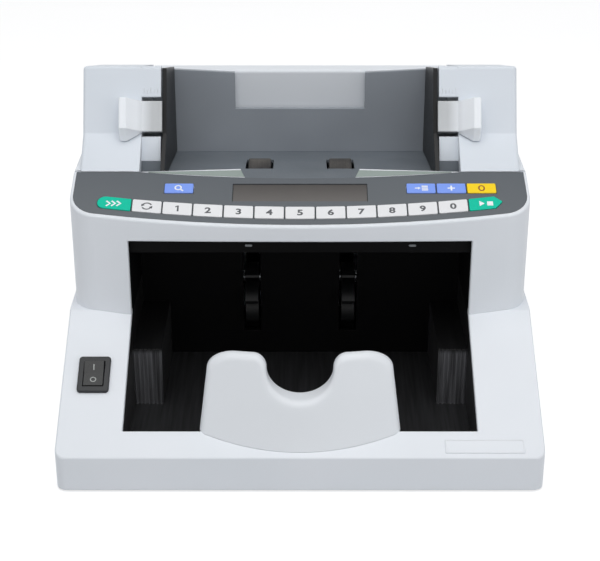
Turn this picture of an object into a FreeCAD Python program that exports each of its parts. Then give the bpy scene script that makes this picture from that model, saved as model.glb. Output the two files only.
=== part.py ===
import FreeCAD, Part
import math
import os

from FreeCAD import Placement, Rotation, Vector

# Desk-top banknote counter: case, hopper, stacking pocket, key panel and drive.
# Frame: origin under the middle of the case, +X to the user's right, +Y to the back, +Z up, millimetres.

# Case
base_width = 270.0
head_inset = 2.0
hopper_inset = 5.5
case_depth = 232.0
wall = 3.0
foot_height = 1.5
foot_radius = 8.0
foot_margin = 24.0
skirt_top = 22.0
deck_lap = 9.0
split_height = 70.0
base_front_radius = 6.0
base_rear_radius = 6.0
deck_edge_radius = 1.2
seat_width = 5.0
opening_edge_radius = 0.8
plate_thickness = 2.0
plate_clearance = 0.3

# Head and key panel
panel_depth = 45.0
head_bow = 11.4
head_corner_radius = 17.0
shoulder_radius = 1.6
panel_top_height = 143.0
panel_slope = 20.0
overlay_border = 0.4
overlay_thickness = 1.2
overlay_clearance = 0.15
panel_ledge = 1.5
panel_hollow = 5.3
scoop_width = 64.0
scoop_slant = 4.0
window_width = 77.6
window_height = 14.8
window_offset = 18.4
window_recess = 0.5
display_margin = 1.5

# Keys
key_columns = 13
key_margin = 18.9
key_gap = 0.9
key_height = 10.0
key_row_offset = 36.0
key_row_inset = 70.0
top_key_height = 8.2
top_key_offset = 15.0
top_key_columns = (-4, 4, 5, 6)
key_proud = 0.4
key_depth = 3.5
key_travel = 0.6
key_corner = 0.8
key_edge = 0.15
key_clearance = 0.3
key_end_round = 4.6
key_end_point = 4.5
key_end_reach = 2.8
board_thickness = 1.6
board_gap = 0.15
board_inset = 6.0

# Hopper
hopper_depth = 110.0
block_width = 35.0
facet_run = 22.0
facet_rise = 16.0
ridge_run = 18.0
ridge_rise = 36.0
rear_height = 175.0
block_edge_radius = 2.0
floor_drop = 4.5
floor_slope = 9.7
floor_thickness = 2.0
rear_wall_depth = 12.0
back_plate_thickness = 2.5
back_plate_gap = 2.0
back_plate_drop = 0.3
back_plate_rise = 2.8
back_notch_width = 83.0
back_notch_depth = 24.0
vent_count = 9
vent_pitch = 9.0
vent_width = 3.0
vent_height = 22.0
vent_bottom = 74.0

# Note guides
guide_margin = 14.8
guide_thickness = 2.5
guide_travel = 24.0
guide_step = 1.0
slider_low = 0.9
slider_high = 19.1
slider_depth = 11.0
slider_proud = 2.0
slot_gap = 2.8
lower_lip = 16.5
slider_gap = 0.3
lip_gap = 0.8
tab_length = 13.0
tab_land = 4.4
tab_lift = 1.0
tab_gap = 0.6
tab_proud = 10.0
tab_root = 2.0
tab_root_skirt = 0.6
tab_skirt = 6.0
tab_edge_radius = 1.2
guide_rod_radius = 3.0
guide_rod_reach = 15.0
guide_rod_drop = 10.5
guide_boss_radius = 6.0
guide_boss_length = 8.0
running_gap = 0.05

# Stacking pocket
pocket_side = 36.5
pocket_lip = 15.5
pocket_floor = 11.5
liner_wall = 2.0
lintel_drop = 11.25
lintel_slope = 19.0
hood_lap = 11.5
hood_lip = 8.0
hood_fall = 10.0
step_width = 17.0
step_lap = 2.0
step_height = 36.5
rib_count = 7
rib_width = 1.0
rib_depth = 1.0
wheel_slot_gap = 1.5

# Stacker stop in front of the pocket
stop_half_width = 55.5
stop_shoulder_half = 51.0
stop_lobe_outer = 39.0
stop_lobe_inner = 28.0
stop_notch_half = 19.2
stop_top = 74.0
stop_shoulder_drop = 10.0
stop_notch_drop = 7.6
stop_notch_bottom = 52.5
stop_thickness = 12.0
stop_setback = 3.0
stop_bow = 9.5
stop_lean = 21.0
stop_back_lean = 2.0
stop_edge_radius = 3.2
stop_back_radius = 1.0

# Mains switch on the deck
switch_margin = 18.0
switch_setback = 46.7
bezel_width = 18.0
bezel_height = 23.5
bezel_thickness = 2.0
bezel_rim = 3.0
rocker_gap = 0.35
rocker_swing = 16.0
rocker_rise = 1.6
rocker_dip = 0.5
rocker_depth = 5.0
switch_body_depth = 14.0
switch_body_wall = 1.5

# Drive
frame_gap = 1.0
frame_thickness = 2.0
frame_lap = 11.0
frame_inset = 12.0
shaft_radius = 4.0
bush_radius = 7.0
bush_flange_radius = 9.0
bush_flange = 1.5
pick_lead = 18.0
pick_drop = 11.0
pick_roller_radius = 13.0
pick_roller_place = 25.0
pick_roller_width = 14.0
feed_inset = 42.0
feed_height = 92.0
feed_roller_radius = 16.0
feed_roller_place = 55.0
feed_roller_width = 20.0
pinch_roller_radius = 7.0
pinch_gap = 0.3
stacker_lead = 22.0
stacker_height = 54.0
stacker_radius = 32.0
stacker_reach = 9.0
stacker_hub_radius = 9.0
stacker_place = 30.0
stacker_width = 8.0
finger_count = 12
finger_thickness = 1.8
finger_sweep = 34.0
motor_inset = 26.0
motor_height = 38.0
motor_radius = 18.0
motor_gap = 9.5
motor_shaft_radius = 3.0
motor_boss_radius = 6.0
motor_pulley_radius = 9.0
feed_pulley_radius = 11.0
stacker_pulley_radius = 13.0
pick_pulley_radius = 9.0
pulley_width = 6.0
pulley_gap = 2.0
pulley_flange = 1.2
belt_gap = 0.3
belt_thickness = 1.4
belt_width = 4.0
encoder_radius = 14.0
encoder_thickness = 1.2
encoder_slots = 12
tie_radius = 3.0
tie_gap = 8.0
tie_inset = 20.0
tie_low = 14.0
tie_middle = 66.0
tie_high = 112.0

# Electrics
main_board_length = 110.0
main_board_height = 52.0
main_board_inset = 132.0
chip_size = 14.0
chip_height = 4.0
supply_length = 58.0
supply_height = 40.0
supply_inset = 88.0
coil_size = 16.0
coil_height = 12.0
board_side_gap = 6.0
inlet_width = 20.0
inlet_height = 28.0
inlet_bottom = 14.0
inlet_depth = 18.0
inlet_flange = 2.0
inlet_flange_border = 2.0
inlet_mouth_border = 3.0
inlet_mouth_depth = 14.0
pin_width = 2.0
pin_length = 11.0
pin_spread = 7.0
screw_radius = 3.0
screw_head = 1.5
screw_slot = 0.8
screw_margin = 12.0

# Places worked out from the sizes above
head_width = base_width - 2 * head_inset
hopper_width = base_width - 2 * hopper_inset
hopper_room = hopper_width - 2 * block_width
pocket_width = base_width - 2 * pocket_side
switch_x = switch_margin - base_width / 2
head_bow_radius = ((head_width / 2) ** 2 + head_bow ** 2) / (2 * head_bow)
key_row_radius = head_bow_radius - key_row_inset
key_pitch = (head_width - 2 * key_margin) / key_columns
top_key_places = [column * key_pitch for column in top_key_columns]
front = -case_depth / 2
rear = case_depth / 2
deck_rise = split_height - skirt_top
panel_back = rear - hopper_depth
head_front = panel_back - panel_depth
floor_front_height = panel_top_height - floor_drop
lintel_height = panel_top_height - panel_depth * math.tan(math.radians(panel_slope)) - lintel_drop
deck_run = head_front - front + deck_lap
deck_angle = math.degrees(math.atan2(deck_rise, deck_run))
scoop_y = panel_back - panel_hollow
overlay_inset = shoulder_radius + overlay_border
facet_y = panel_back + facet_run
facet_z = panel_top_height + facet_rise
ridge_y = facet_y + ridge_run
ridge_z = facet_z + ridge_rise
ridge_length = math.hypot(ridge_run, ridge_rise)
room_half = hopper_room / 2
guide_place = room_half - guide_margin
rear_wall_front = rear - rear_wall_depth
pocket_half = pocket_width / 2
pocket_front = front + pocket_lip
feed_y = rear - feed_inset
pick_y = feed_y - pick_lead
stacker_y = feed_y - stacker_lead
pocket_back = stacker_y - stacker_radius + stacker_reach
hood_front = head_front + hood_lap
liner_half = pocket_half + liner_wall
frame_x = liner_half + frame_gap
plate_top = foot_height + plate_thickness
pulley_x = frame_x + frame_thickness + pulley_gap
pick = (pick_y, floor_front_height - (pick_y - panel_back) * math.tan(math.radians(floor_slope)) - pick_drop)
feed = (feed_y, feed_height)
pinch = (feed_y + feed_roller_radius + pinch_roller_radius + pinch_gap, feed_height)
stacker = (stacker_y, stacker_height)
motor = (rear - motor_inset, motor_height)
guide_rod_y = pick_y - pick_roller_radius - guide_rod_radius - guide_rod_reach
motor_length = frame_x - stacker_place - stacker_width / 2 - motor_gap
panel_frame = Placement(Vector(0, panel_back, panel_top_height), Rotation(Vector(1, 0, 0), panel_slope))
far = case_depth


def write(name, shape):
    """Saves one finished piece under its own name."""
    shape.exportStep(os.path.join("parts", name + ".step"))


def box(x0, x1, y0, y1, z0, z1):
    """Block between two corners."""
    return Part.makeBox(x1 - x0, y1 - y0, z1 - z0, Vector(x0, y0, z0))


def cylinder(y, z, radius, x0, x1):
    """Round bar along X."""
    return Part.makeCylinder(radius, x1 - x0, Vector(x0, y, z), Vector(1, 0, 0))


def side_prism(points, x0, x1):
    """Solid with an outline of (y, z) points, from one x to another."""
    corners = [Vector(x0, y, z) for y, z in points]
    face = Part.Face(Part.makePolygon(corners + corners[:1]))
    return face.extrude(Vector(x1 - x0, 0, 0))


def mirrored(shape):
    """The same piece on the other side of the centre plane."""
    return shape.mirror(Vector(0, 0, 0), Vector(1, 0, 0))


def both_sides(shape):
    """A piece and its mirror image as separate solids."""
    return Part.makeCompound([shape, mirrored(shape)])


def middle(edge):
    """Point half-way along an edge."""
    return edge.valueAt((edge.FirstParameter + edge.LastParameter) / 2)


def is_upright(edge):
    """True for an edge that runs along Z."""
    start = edge.Vertexes[0].Point
    end = edge.Vertexes[-1].Point
    return math.hypot(end.x - start.x, end.y - start.y) < 1e-4 < abs(end.z - start.z)


def round_edges(shape, radius, wanted):
    """Rounds the edges that a test picks out."""
    return shape.makeFillet(radius, [edge for edge in shape.Edges if wanted(edge)])


def chain(points):
    """Closed wire through points, where a triple of points is an arc and a pair is a line."""
    edges = []
    for run in points:
        if len(run) == 3:
            edges.append(Part.Arc(*run).toShape())
        else:
            edges.append(Part.LineSegment(*run).toShape())
    return Part.Wire(edges)


def deck_z(y):
    """Height of the sloped deck."""
    return skirt_top + (y - front) * deck_rise / deck_run


def panel_z(y):
    """Height of the key panel."""
    return panel_top_height - (panel_back - y) * math.tan(math.radians(panel_slope))


def floor_z(y):
    """Height of the hopper floor's upper face."""
    return floor_front_height - (y - scoop_y) * math.tan(math.radians(floor_slope))


def facet_point(along, out):
    """Point on the hopper block's upper facet, measured up from its crease and outwards."""
    run = ridge_run / ridge_length
    rise = ridge_rise / ridge_length
    return (facet_y + along * run - out * rise, facet_z + along * rise + out * run)


def deck_frame(x, setback):
    """Placement on the deck, with Y up the slope and Z square to it."""
    y = front + setback
    return Placement(Vector(x, y, deck_z(y)), Rotation(Vector(1, 0, 0), deck_angle))


def bowed_block(half_width, front_y, back_y, bow_radius, corner_radius, z0, z1):
    """Upright block with a bowed front whose corners run smoothly into straight sides."""
    centre_y = front_y + bow_radius
    corner_x = half_width - corner_radius
    corner_y = centre_y - math.sqrt((bow_radius - corner_radius) ** 2 - corner_x ** 2)
    reach = bow_radius / (bow_radius - corner_radius)
    touch_x = corner_x * reach
    touch_y = centre_y + (corner_y - centre_y) * reach
    half_turn = math.atan2(touch_y - corner_y, touch_x - corner_x) / 2
    bend_x = corner_x + corner_radius * math.cos(half_turn)
    bend_y = corner_y + corner_radius * math.sin(half_turn)
    wire = chain([
        (Vector(-half_width, back_y, z0), Vector(-half_width, corner_y, z0)),
        (Vector(-half_width, corner_y, z0), Vector(-bend_x, bend_y, z0), Vector(-touch_x, touch_y, z0)),
        (Vector(-touch_x, touch_y, z0), Vector(0, front_y, z0), Vector(touch_x, touch_y, z0)),
        (Vector(touch_x, touch_y, z0), Vector(bend_x, bend_y, z0), Vector(half_width, corner_y, z0)),
        (Vector(half_width, corner_y, z0), Vector(half_width, back_y, z0)),
        (Vector(half_width, back_y, z0), Vector(-half_width, back_y, z0)),
    ])
    return Part.Face(wire).extrude(Vector(0, 0, z1 - z0))


def base_block(inset, bottom):
    """Outer form of the base, drawn in by an inset, standing on a given height."""
    drop = inset / math.cos(math.radians(deck_angle))
    face_y = front + inset
    back_y = rear - inset
    top_z = split_height - inset
    crest_y = front + (top_z + drop - skirt_top) * deck_run / deck_rise
    half = base_width / 2 - inset
    outline = [(face_y, bottom), (face_y, deck_z(face_y) - drop), (crest_y, top_z), (back_y, top_z),
               (back_y, bottom)]
    block = side_prism(outline, -half, half)
    block = round_edges(block, base_front_radius - inset, lambda e: is_upright(e) and middle(e).y < 0)
    rear_radius = base_rear_radius - inset
    return round_edges(block, rear_radius, lambda e: is_upright(e) and middle(e).y > back_y - 1e-3)


def base_housing():
    """Lower case: skirt, deck with the pocket opening, and the seat for the head."""
    outer = base_block(0, foot_height)
    crest_y = front + deck_run

    def on_deck_edge(edge):
        point = middle(edge)
        return point.y < crest_y - 1e-3 and abs(point.z - deck_z(point.y)) < 1e-3

    outer = round_edges(outer, deck_edge_radius, on_deck_edge)
    shell = outer.cut(base_block(wall, -far))
    seat_half = head_width / 2 - wall - seat_width
    shell = shell.cut(box(-seat_half, seat_half, hood_front, rear - wall - seat_width, 0, far))
    shell = shell.cut(box(-pocket_half, pocket_half, pocket_front, hood_front + wall, 0, far))

    def on_pocket_edge(edge):
        point = middle(edge)
        inside = abs(point.x) < pocket_half + 1e-3 and pocket_front - 1e-3 < point.y < crest_y - 1e-3
        return inside and abs(point.z - deck_z(point.y)) < 1e-3

    shell = round_edges(shell, opening_edge_radius, on_pocket_edge)
    body = switch_opening(switch_body_wall + plate_clearance)
    shell = shell.cut(body)
    inlet_x0, inlet_x1 = inlet_span()
    return shell.cut(box(inlet_x0, inlet_x1, 0, far, inlet_bottom, inlet_bottom + inlet_height))


def bottom_plate():
    """Sheet that closes the base from below."""
    inset = wall + plate_clearance
    half = base_width / 2 - inset
    plate = box(-half, half, front + inset, rear - inset, foot_height, plate_top)
    plate = round_edges(plate, base_front_radius - inset, lambda e: is_upright(e) and middle(e).y < 0)
    return round_edges(plate, base_rear_radius - inset, lambda e: is_upright(e) and middle(e).y > 0)


def foot_places():
    """Centres of the four feet."""
    x = base_width / 2 - foot_margin
    y = case_depth / 2 - foot_margin
    return [(sx * x, sy * y) for sx in (-1, 1) for sy in (-1, 1)]


def rubber_feet():
    """Four round feet under the bottom plate."""
    feet = []
    for x, y in foot_places():
        foot = Part.makeCylinder(foot_radius, foot_height, Vector(x, y, 0))
        foot = round_edges(foot, foot_height / 3, lambda e: e.BoundBox.ZMax < 1e-3 and not is_upright(e))
        feet.append(foot)
    return Part.makeCompound(feet)


def head_block(inset, back_y, z0, z1):
    """Front part of the head's plan, drawn in by an inset."""
    half = head_width / 2 - inset
    bow_radius = head_bow_radius - inset
    return bowed_block(half, head_front + inset, back_y, bow_radius, head_corner_radius - inset, z0, z1)


def under_panel(drop, bottom):
    """Space below the key panel, down to the base or further."""
    low_y = front
    return side_prism([
        (low_y, deck_z(low_y) - bottom),
        (front + deck_run, split_height - bottom),
        (panel_back + drop, split_height - bottom),
        (panel_back + drop, panel_z(panel_back + drop) - drop),
        (low_y, panel_z(low_y) - drop),
    ], -far, far)


def panel_slab(low, high):
    """Flat layer along the key panel, between two heights measured square to it."""
    slab = box(-far, far, -far, far, low, high)
    slab.Placement = panel_frame
    return slab


def panel_sheet(inset, back_gap, low, high):
    """Layer of the key panel inside the head's rim, with a hollowed back edge in front of the hopper."""
    sheet = head_block(inset, panel_back - back_gap, 0, far).common(panel_slab(low, high))
    radius = (room_half ** 2 + panel_hollow ** 2) / (2 * panel_hollow)
    hollow = Part.makeCylinder(radius + back_gap, far, Vector(0, scoop_y + radius, 0))
    return sheet.cut(hollow)


def finger_scoop(grow):
    """Gap in the middle of the hopper's front edge, with slanted ends."""
    half = scoop_width / 2 + grow
    back_half = half + scoop_slant
    points = [Vector(-half, scoop_y - grow, 0), Vector(half, scoop_y - grow, 0),
              Vector(back_half, panel_back + wall, 0), Vector(-back_half, panel_back + wall, 0)]
    return Part.Face(Part.makePolygon(points + points[:1])).extrude(Vector(0, 0, far))


def front_cover():
    """Front of the head: bowed face over the pocket and the ledge for the key panel."""
    outer = head_block(0, panel_back, 0, far).common(under_panel(0, 0))

    def on_rim(edge):
        point = middle(edge)
        return point.y < panel_back - 1e-3 and abs(point.z - panel_z(point.y)) < 1e-3

    outer = round_edges(outer, shoulder_radius, on_rim)
    slab_drop = wall / math.cos(math.radians(panel_slope))
    inner = head_block(wall, panel_back + slab_drop, 0, far).common(under_panel(slab_drop, far))
    shell = outer.cut(inner)
    rise = math.tan(math.radians(lintel_slope))
    edge_y = head_front + pocket_half ** 2 / (2 * head_bow_radius)
    shell = shell.cut(side_prism([
        (front, 0),
        (front, lintel_height + (edge_y - front) * rise),
        (panel_back, lintel_height - (panel_back - edge_y) * rise),
        (panel_back, 0),
    ], -pocket_half, pocket_half))

    def on_mouth(edge):
        point = middle(edge)
        bow_y = head_front + head_bow_radius - math.sqrt(head_bow_radius ** 2 - point.x ** 2)
        on_face = abs(point.x) < pocket_half + 1e-3 and abs(point.y - bow_y) < 1e-2
        return on_face and point.z < lintel_height + 4 * wall

    shell = round_edges(shell, opening_edge_radius, on_mouth)
    shell = shell.cut(panel_sheet(overlay_inset - overlay_clearance, 0, -overlay_thickness, far))
    shell = shell.cut(panel_sheet(overlay_inset + panel_ledge, panel_ledge, -2 * wall, far))
    scoop = finger_scoop(0)
    scoop.translate(Vector(0, 0, panel_z(scoop_y) - 2 * wall))
    return shell.cut(scoop)


def panel_overlay():
    """Dark control panel with a hole for each key and for the window."""
    sheet = panel_sheet(overlay_inset, plate_clearance, -overlay_thickness, 0)
    for name in key_table():
        sheet = sheet.cut(key_solid(name, key_clearance, -wall, wall, 0))
    return sheet.cut(window_block(plate_clearance, -wall, wall))


def window_block(grow, low, high):
    """Block in the place of the display window."""
    half = window_width / 2 + grow
    half_height = window_height / 2 + grow
    block = box(-half, half, -window_offset - half_height, -window_offset + half_height, low, high)
    block.Placement = panel_frame
    return block


def display_window():
    """Smoked window, set a little below the panel."""
    return window_block(0, -overlay_thickness, -window_recess)


def board_low():
    """Height of the key board's upper face below the panel."""
    return key_proud - key_depth - key_travel - board_gap


def display_module():
    """Display between the window and the key board."""
    half = window_width / 2 - display_margin
    half_height = window_height / 2 - display_margin
    module = box(-half, half, -window_offset - half_height, -window_offset + half_height, board_low(),
                 -overlay_thickness - board_gap)
    module.Placement = panel_frame
    return module


def key_board():
    """Circuit board under the keys."""
    return panel_sheet(board_inset, board_inset, board_low() - board_thickness, board_low())


def key_table():
    """Keys by name: form, width, height, place across the panel, place up the panel and lean."""
    lower = ["preset_key", "mode_key"] + ["digit_key_%d" % (n % 10) for n in range(1, 11)] + ["start_key"]
    forms = {"preset_key": "round", "start_key": "pointed"}
    width = key_pitch - key_gap
    table = {}
    for index, name in enumerate(lower):
        x = (index - (len(lower) - 1) / 2) * key_pitch
        up = -key_row_offset + key_row_radius - math.sqrt(key_row_radius ** 2 - x ** 2)
        lean = x / math.sqrt(key_row_radius ** 2 - x ** 2)
        table[name] = (forms.get(name, "plain"), width, key_height, x, up, lean)
    for name, x in zip(("detect_key", "batch_key", "add_key", "clear_key"), top_key_places):
        table[name] = ("plain", width, top_key_height, x, -top_key_offset, 0)
    return table


def key_solid(name, grow, low, high, edge):
    """Key block between two heights off the panel, grown sideways for a hole, leaning along the bowed row."""
    form, width, height, x, up, lean = key_table()[name]
    half = width / 2 + grow
    half_height = height / 2 + grow
    tip = half + key_end_reach
    left = tip if form == "round" else half
    points = [(-left, half_height), (-left, -half_height)]
    if form == "pointed":
        points += [(tip - key_end_point, -half_height), (tip, 0), (tip - key_end_point, half_height)]
    else:
        points += [(half, -half_height), (half, half_height)]
    corners = [Vector(u, v + u * lean, low) for u, v in points]
    block = Part.Face(Part.makePolygon(corners + corners[:1])).extrude(Vector(0, 0, high - low))
    if form == "round":
        block = round_edges(block, key_end_round, lambda e: is_upright(e) and middle(e).x < -half - 1e-3)
        block = round_edges(block, key_corner, lambda e: is_upright(e) and middle(e).x > half - 1e-3)
    else:
        block = round_edges(block, key_corner, is_upright)
    if edge > 0:
        block = round_edges(block, edge, lambda e: e.BoundBox.ZMin > high - 1e-3)
    block.Placement = panel_frame.multiply(Placement(Vector(x, up, 0), Rotation()))
    return block


def write_keys():
    """One piece for each key."""
    for name in key_table():
        write(name, key_solid(name, 0, key_proud - key_depth, key_proud, key_edge))


def hopper_side():
    """Right-hand faceted block beside the hopper, open below, with the rail lip of the guide."""
    half = hopper_width / 2
    outline = [(panel_back, panel_top_height), (facet_y, facet_z), (ridge_y, ridge_z), (rear, rear_height),
               (rear, panel_top_height)]
    block = side_prism(outline, room_half, half)
    block = round_edges(block, base_rear_radius, lambda e: is_upright(e) and middle(e).x > half - 1e-3)

    def on_outside(edge):
        point = middle(edge)
        return point.x > room_half + 1e-3 and point.z > panel_top_height + 1e-3 and not is_upright(edge)

    block = round_edges(block, block_edge_radius, on_outside)
    slope = math.atan2(ridge_rise, ridge_run)
    top_slope = math.atan2(ridge_z - rear_height, rear - ridge_y)
    low_slope = math.atan2(facet_rise, facet_run)
    shift = wall * math.tan((slope - low_slope) / 2)
    inner_facet = (facet_y + wall * math.sin(low_slope) + shift * math.cos(low_slope),
                   facet_z - wall * math.cos(low_slope) + shift * math.sin(low_slope))
    ridge_shift = wall * math.tan((slope + top_slope) / 2)
    inner_ridge = (ridge_y + wall * math.sin(slope) - ridge_shift * math.cos(slope),
                   ridge_z - wall * math.cos(slope) - ridge_shift * math.sin(slope))
    back_y = rear - wall
    back_z = rear_height + wall * math.tan(top_slope) - wall / math.cos(top_slope)
    front_y = inner_facet[0] - (inner_facet[1] - panel_top_height) / math.tan(low_slope)
    hollow = side_prism([(front_y, panel_top_height), inner_facet, inner_ridge, (back_y, back_z),
                         (back_y, panel_top_height)], room_half + wall, half - wall)
    inner_half = half - wall
    hollow = round_edges(hollow, base_rear_radius - wall,
                         lambda e: is_upright(e) and middle(e).x > inner_half - 1e-3)
    block = block.cut(hollow)
    cheek_y0 = panel_back + plate_clearance
    cheek_y1 = rear_wall_front - plate_clearance
    cheek = side_prism([
        (cheek_y0, floor_z(cheek_y0)), (cheek_y0, panel_top_height), (cheek_y1, panel_top_height),
        (cheek_y1, floor_z(cheek_y1)),
    ], room_half, room_half + wall)
    lip_x = guide_place + guide_thickness + lip_gap
    lip_low = slider_high + slot_gap
    tangent = block_edge_radius * math.tan((slope + top_slope) / 2)

    def top_point(along, depth):
        return (ridge_y + along * math.cos(top_slope) - depth * math.sin(top_slope),
                ridge_z - along * math.sin(top_slope) - depth * math.cos(top_slope))

    lip = side_prism([
        facet_point(lip_low, 0), facet_point(ridge_length - tangent, 0), top_point(tangent, 0),
        top_point(tangent + wall, 0), top_point(tangent + wall, wall), inner_ridge, facet_point(lip_low, -wall),
    ], lip_x, room_half)
    sill = side_prism([
        facet_point(slider_low - slot_gap, 0), facet_point(slider_low - slot_gap, -wall),
        facet_point(-lower_lip, -wall), facet_point(-lower_lip, 0),
    ], lip_x, room_half)
    return block.fuse([cheek, lip, sill]).removeSplitter()


def rear_cover():
    """Back of the head with the raised rear wall of the hopper, ventilated behind."""
    half = head_width / 2
    outer = box(-half, half, panel_back, rear, split_height, panel_top_height)
    outer = round_edges(outer, base_rear_radius, lambda e: is_upright(e) and middle(e).y > rear - 1e-3)

    def on_shoulder(edge):
        point = middle(edge)
        return point.y > panel_back + 1e-3 and point.z > panel_top_height - 1e-3

    outer = round_edges(outer, shoulder_radius, on_shoulder)
    inner = box(-half + wall, half - wall, panel_back - wall, rear - wall, 0, panel_top_height - wall)
    inner = round_edges(inner, base_rear_radius - wall, lambda e: is_upright(e) and middle(e).y > 0)
    shell = outer.cut(inner)
    well_half = room_half + wall
    shell = shell.cut(box(-well_half, well_half, panel_back - wall, rear - wall, split_height, far))
    shell = shell.cut(box(-far, far, panel_back - wall, panel_back + wall, panel_top_height - wall, far))
    wall_half = room_half - plate_clearance
    rear_wall = box(-wall_half, wall_half, rear_wall_front, rear, panel_top_height - 2 * wall, rear_height)
    rear_wall = round_edges(rear_wall, block_edge_radius, lambda e: middle(e).z > rear_height - 1e-3)
    skirt_z = floor_z(rear_wall_front) - floor_thickness
    rear_wall = rear_wall.fuse(box(-wall_half, wall_half, rear_wall_front, rear_wall_front + wall, skirt_z,
                                   panel_top_height))
    rear_wall = rear_wall.cut(box(-wall_half + wall, wall_half - wall, rear_wall_front + wall, rear - wall, 0,
                                  rear_height - wall))
    shell = shell.fuse(rear_wall).removeSplitter()
    for index in range(vent_count):
        x = (index - (vent_count - 1) / 2) * vent_pitch
        shell = shell.cut(box(x - vent_width / 2, x + vent_width / 2, rear - 2 * wall, far, vent_bottom,
                              vent_bottom + vent_height))
    for x, z in screw_places():
        seat = Vector(x, rear - screw_head, z)
        shell = shell.cut(Part.makeCylinder(screw_radius + running_gap, far, seat, Vector(0, 1, 0)))
    return shell


def hopper_floor():
    """Sloped plate under the notes, with windows for the pick rollers and the guides' feet."""
    back_y = rear_wall_front - plate_clearance
    half = room_half - plate_clearance
    plate = floor_layer(panel_back + plate_clearance, back_y, -half, half)
    nose_half = scoop_width / 2 - plate_clearance
    nose = floor_layer(scoop_y + plate_clearance, back_y, -nose_half, nose_half)
    wing = floor_layer(frame_y0(), back_y, -frame_x - frame_thickness, frame_x + frame_thickness)
    plate = plate.fuse([nose, wing]).removeSplitter()
    window_half = pick_roller_radius + wheel_slot_gap
    for side in (-1, 1):
        x = side * pick_roller_place
        half_window = pick_roller_width / 2 + wheel_slot_gap
        window = box(x - half_window, x + half_window, pick_y - window_half, pick_y + window_half, 0, far)
        plate = plate.cut(window)
        x0, x1 = sorted((side * (guide_place - guide_travel - lip_gap),
                         side * (guide_place + guide_thickness + lip_gap)))
        reach = guide_boss_radius + lip_gap
        plate = plate.cut(box(x0, x1, guide_rod_y - reach, guide_rod_y + reach, 0, far))
    return plate


def floor_layer(y0, y1, x0, x1):
    """Piece of the hopper floor between two depths."""
    return side_prism([
        (y0, floor_z(y0)), (y1, floor_z(y1)),
        (y1, floor_z(y1) - floor_thickness), (y0, floor_z(y0) - floor_thickness),
    ], x0, x1)


def hopper_back_plate():
    """Dark plate at the back of the hopper, with a wide notch at its top and rising to its outer ends."""
    y1 = rear_wall_front - back_plate_gap
    y0 = y1 - back_plate_thickness
    half = room_half - plate_clearance
    top = rear_height - back_plate_drop
    peak = top + back_plate_rise
    plate = side_prism([(y0, floor_z(y0)), (y0, peak), (y1, peak), (y1, floor_z(y1))], -half, half)
    notch = back_notch_width / 2
    plate = plate.cut(box(-notch, notch, 0, far, top - back_notch_depth, far))
    corners = [Vector(notch, y0, top), Vector(half, y0, peak), Vector(notch, y0, peak)]
    slant = Part.Face(Part.makePolygon(corners + corners[:1])).extrude(Vector(0, back_plate_thickness, 0))
    plate = plate.cut(slant).cut(mirrored(slant))
    spacer = box(notch, half, y1, rear_wall_front, top - back_notch_depth, top - back_notch_depth + wall)
    return plate.fuse([spacer, mirrored(spacer)]).removeSplitter()


def guide_plate():
    """Right-hand note guide: an upright plate with a foot that runs on the guide rod."""
    x0 = guide_place
    x1 = guide_place + guide_thickness
    y1 = rear_wall_front - back_plate_gap - back_plate_thickness - guide_step
    y0 = panel_back + guide_step
    top_slope = (ridge_z - rear_height) / (rear - ridge_y)
    low = facet_point(0, -guide_step)
    high = facet_point(ridge_length - guide_step, -guide_step)
    plate = side_prism([
        (y0, floor_z(y0) + guide_step), (y0, panel_top_height), low, high,
        (y1, high[1] - (y1 - high[0]) * top_slope), (y1, floor_z(y1) + guide_step),
    ], x0, x1)
    rod_z = floor_z(guide_rod_y) - guide_rod_drop
    stem_y = max(y0, guide_rod_y - guide_boss_radius)
    stem = box(x0, x1, stem_y, guide_rod_y + guide_boss_radius, rod_z, floor_z(guide_rod_y) + 2 * wall)
    boss_x = (x0 + x1) / 2
    boss_half = guide_boss_length / 2
    boss = cylinder(guide_rod_y, rod_z, guide_boss_radius, boss_x - boss_half, boss_x + boss_half)
    plate = plate.fuse([stem, boss]).removeSplitter()
    return plate.cut(cylinder(guide_rod_y, rod_z, guide_rod_radius + running_gap, 0, far))


def guide_slider():
    """Right-hand slider on the guide plate, with the flared tab for a finger."""
    inner_x = guide_place + guide_thickness
    outer_x = room_half - slider_gap
    slider = side_prism([
        facet_point(slider_low, slider_proud), facet_point(slider_high, slider_proud),
        facet_point(slider_high, -slider_depth), facet_point(slider_low, -slider_depth),
    ], inner_x, outer_x)
    end_x = outer_x + tab_length
    root = tab_section(outer_x, tab_root, tab_root_skirt, 0)
    crest = tab_section(end_x - tab_land, tab_proud, tab_skirt, tab_lift)
    end = tab_section(end_x, tab_proud, tab_skirt, tab_lift)
    rise = Part.makeLoft([root, crest], True, True)
    land = Part.makeLoft([crest, end], True, True)
    handle = slider.fuse([rise, land]).removeSplitter()
    return round_edges(handle, tab_edge_radius, lambda e: middle(e).x > end_x - 1e-3)


def tab_section(x, proud, skirt, lift):
    """Section of the finger tab at one place along it, with a skirt that follows the lower facet."""
    lower_facet = math.atan2(facet_rise, facet_run)
    fold = math.atan2(ridge_rise, ridge_run) - lower_facet
    points = [
        facet_point(slider_low / 2, tab_gap), facet_point(slider_high + lift, tab_gap),
        facet_point(slider_high + lift, proud), facet_point(slider_low + lift, proud),
        facet_point(slider_low - skirt, tab_gap + skirt * math.tan(fold)),
    ]
    corners = [Vector(x, y, z) for y, z in points]
    return Part.makePolygon(corners + corners[:1])


def tray_top():
    """Height where the pocket's tray ends and its hood begins."""
    return split_height - wall


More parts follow.
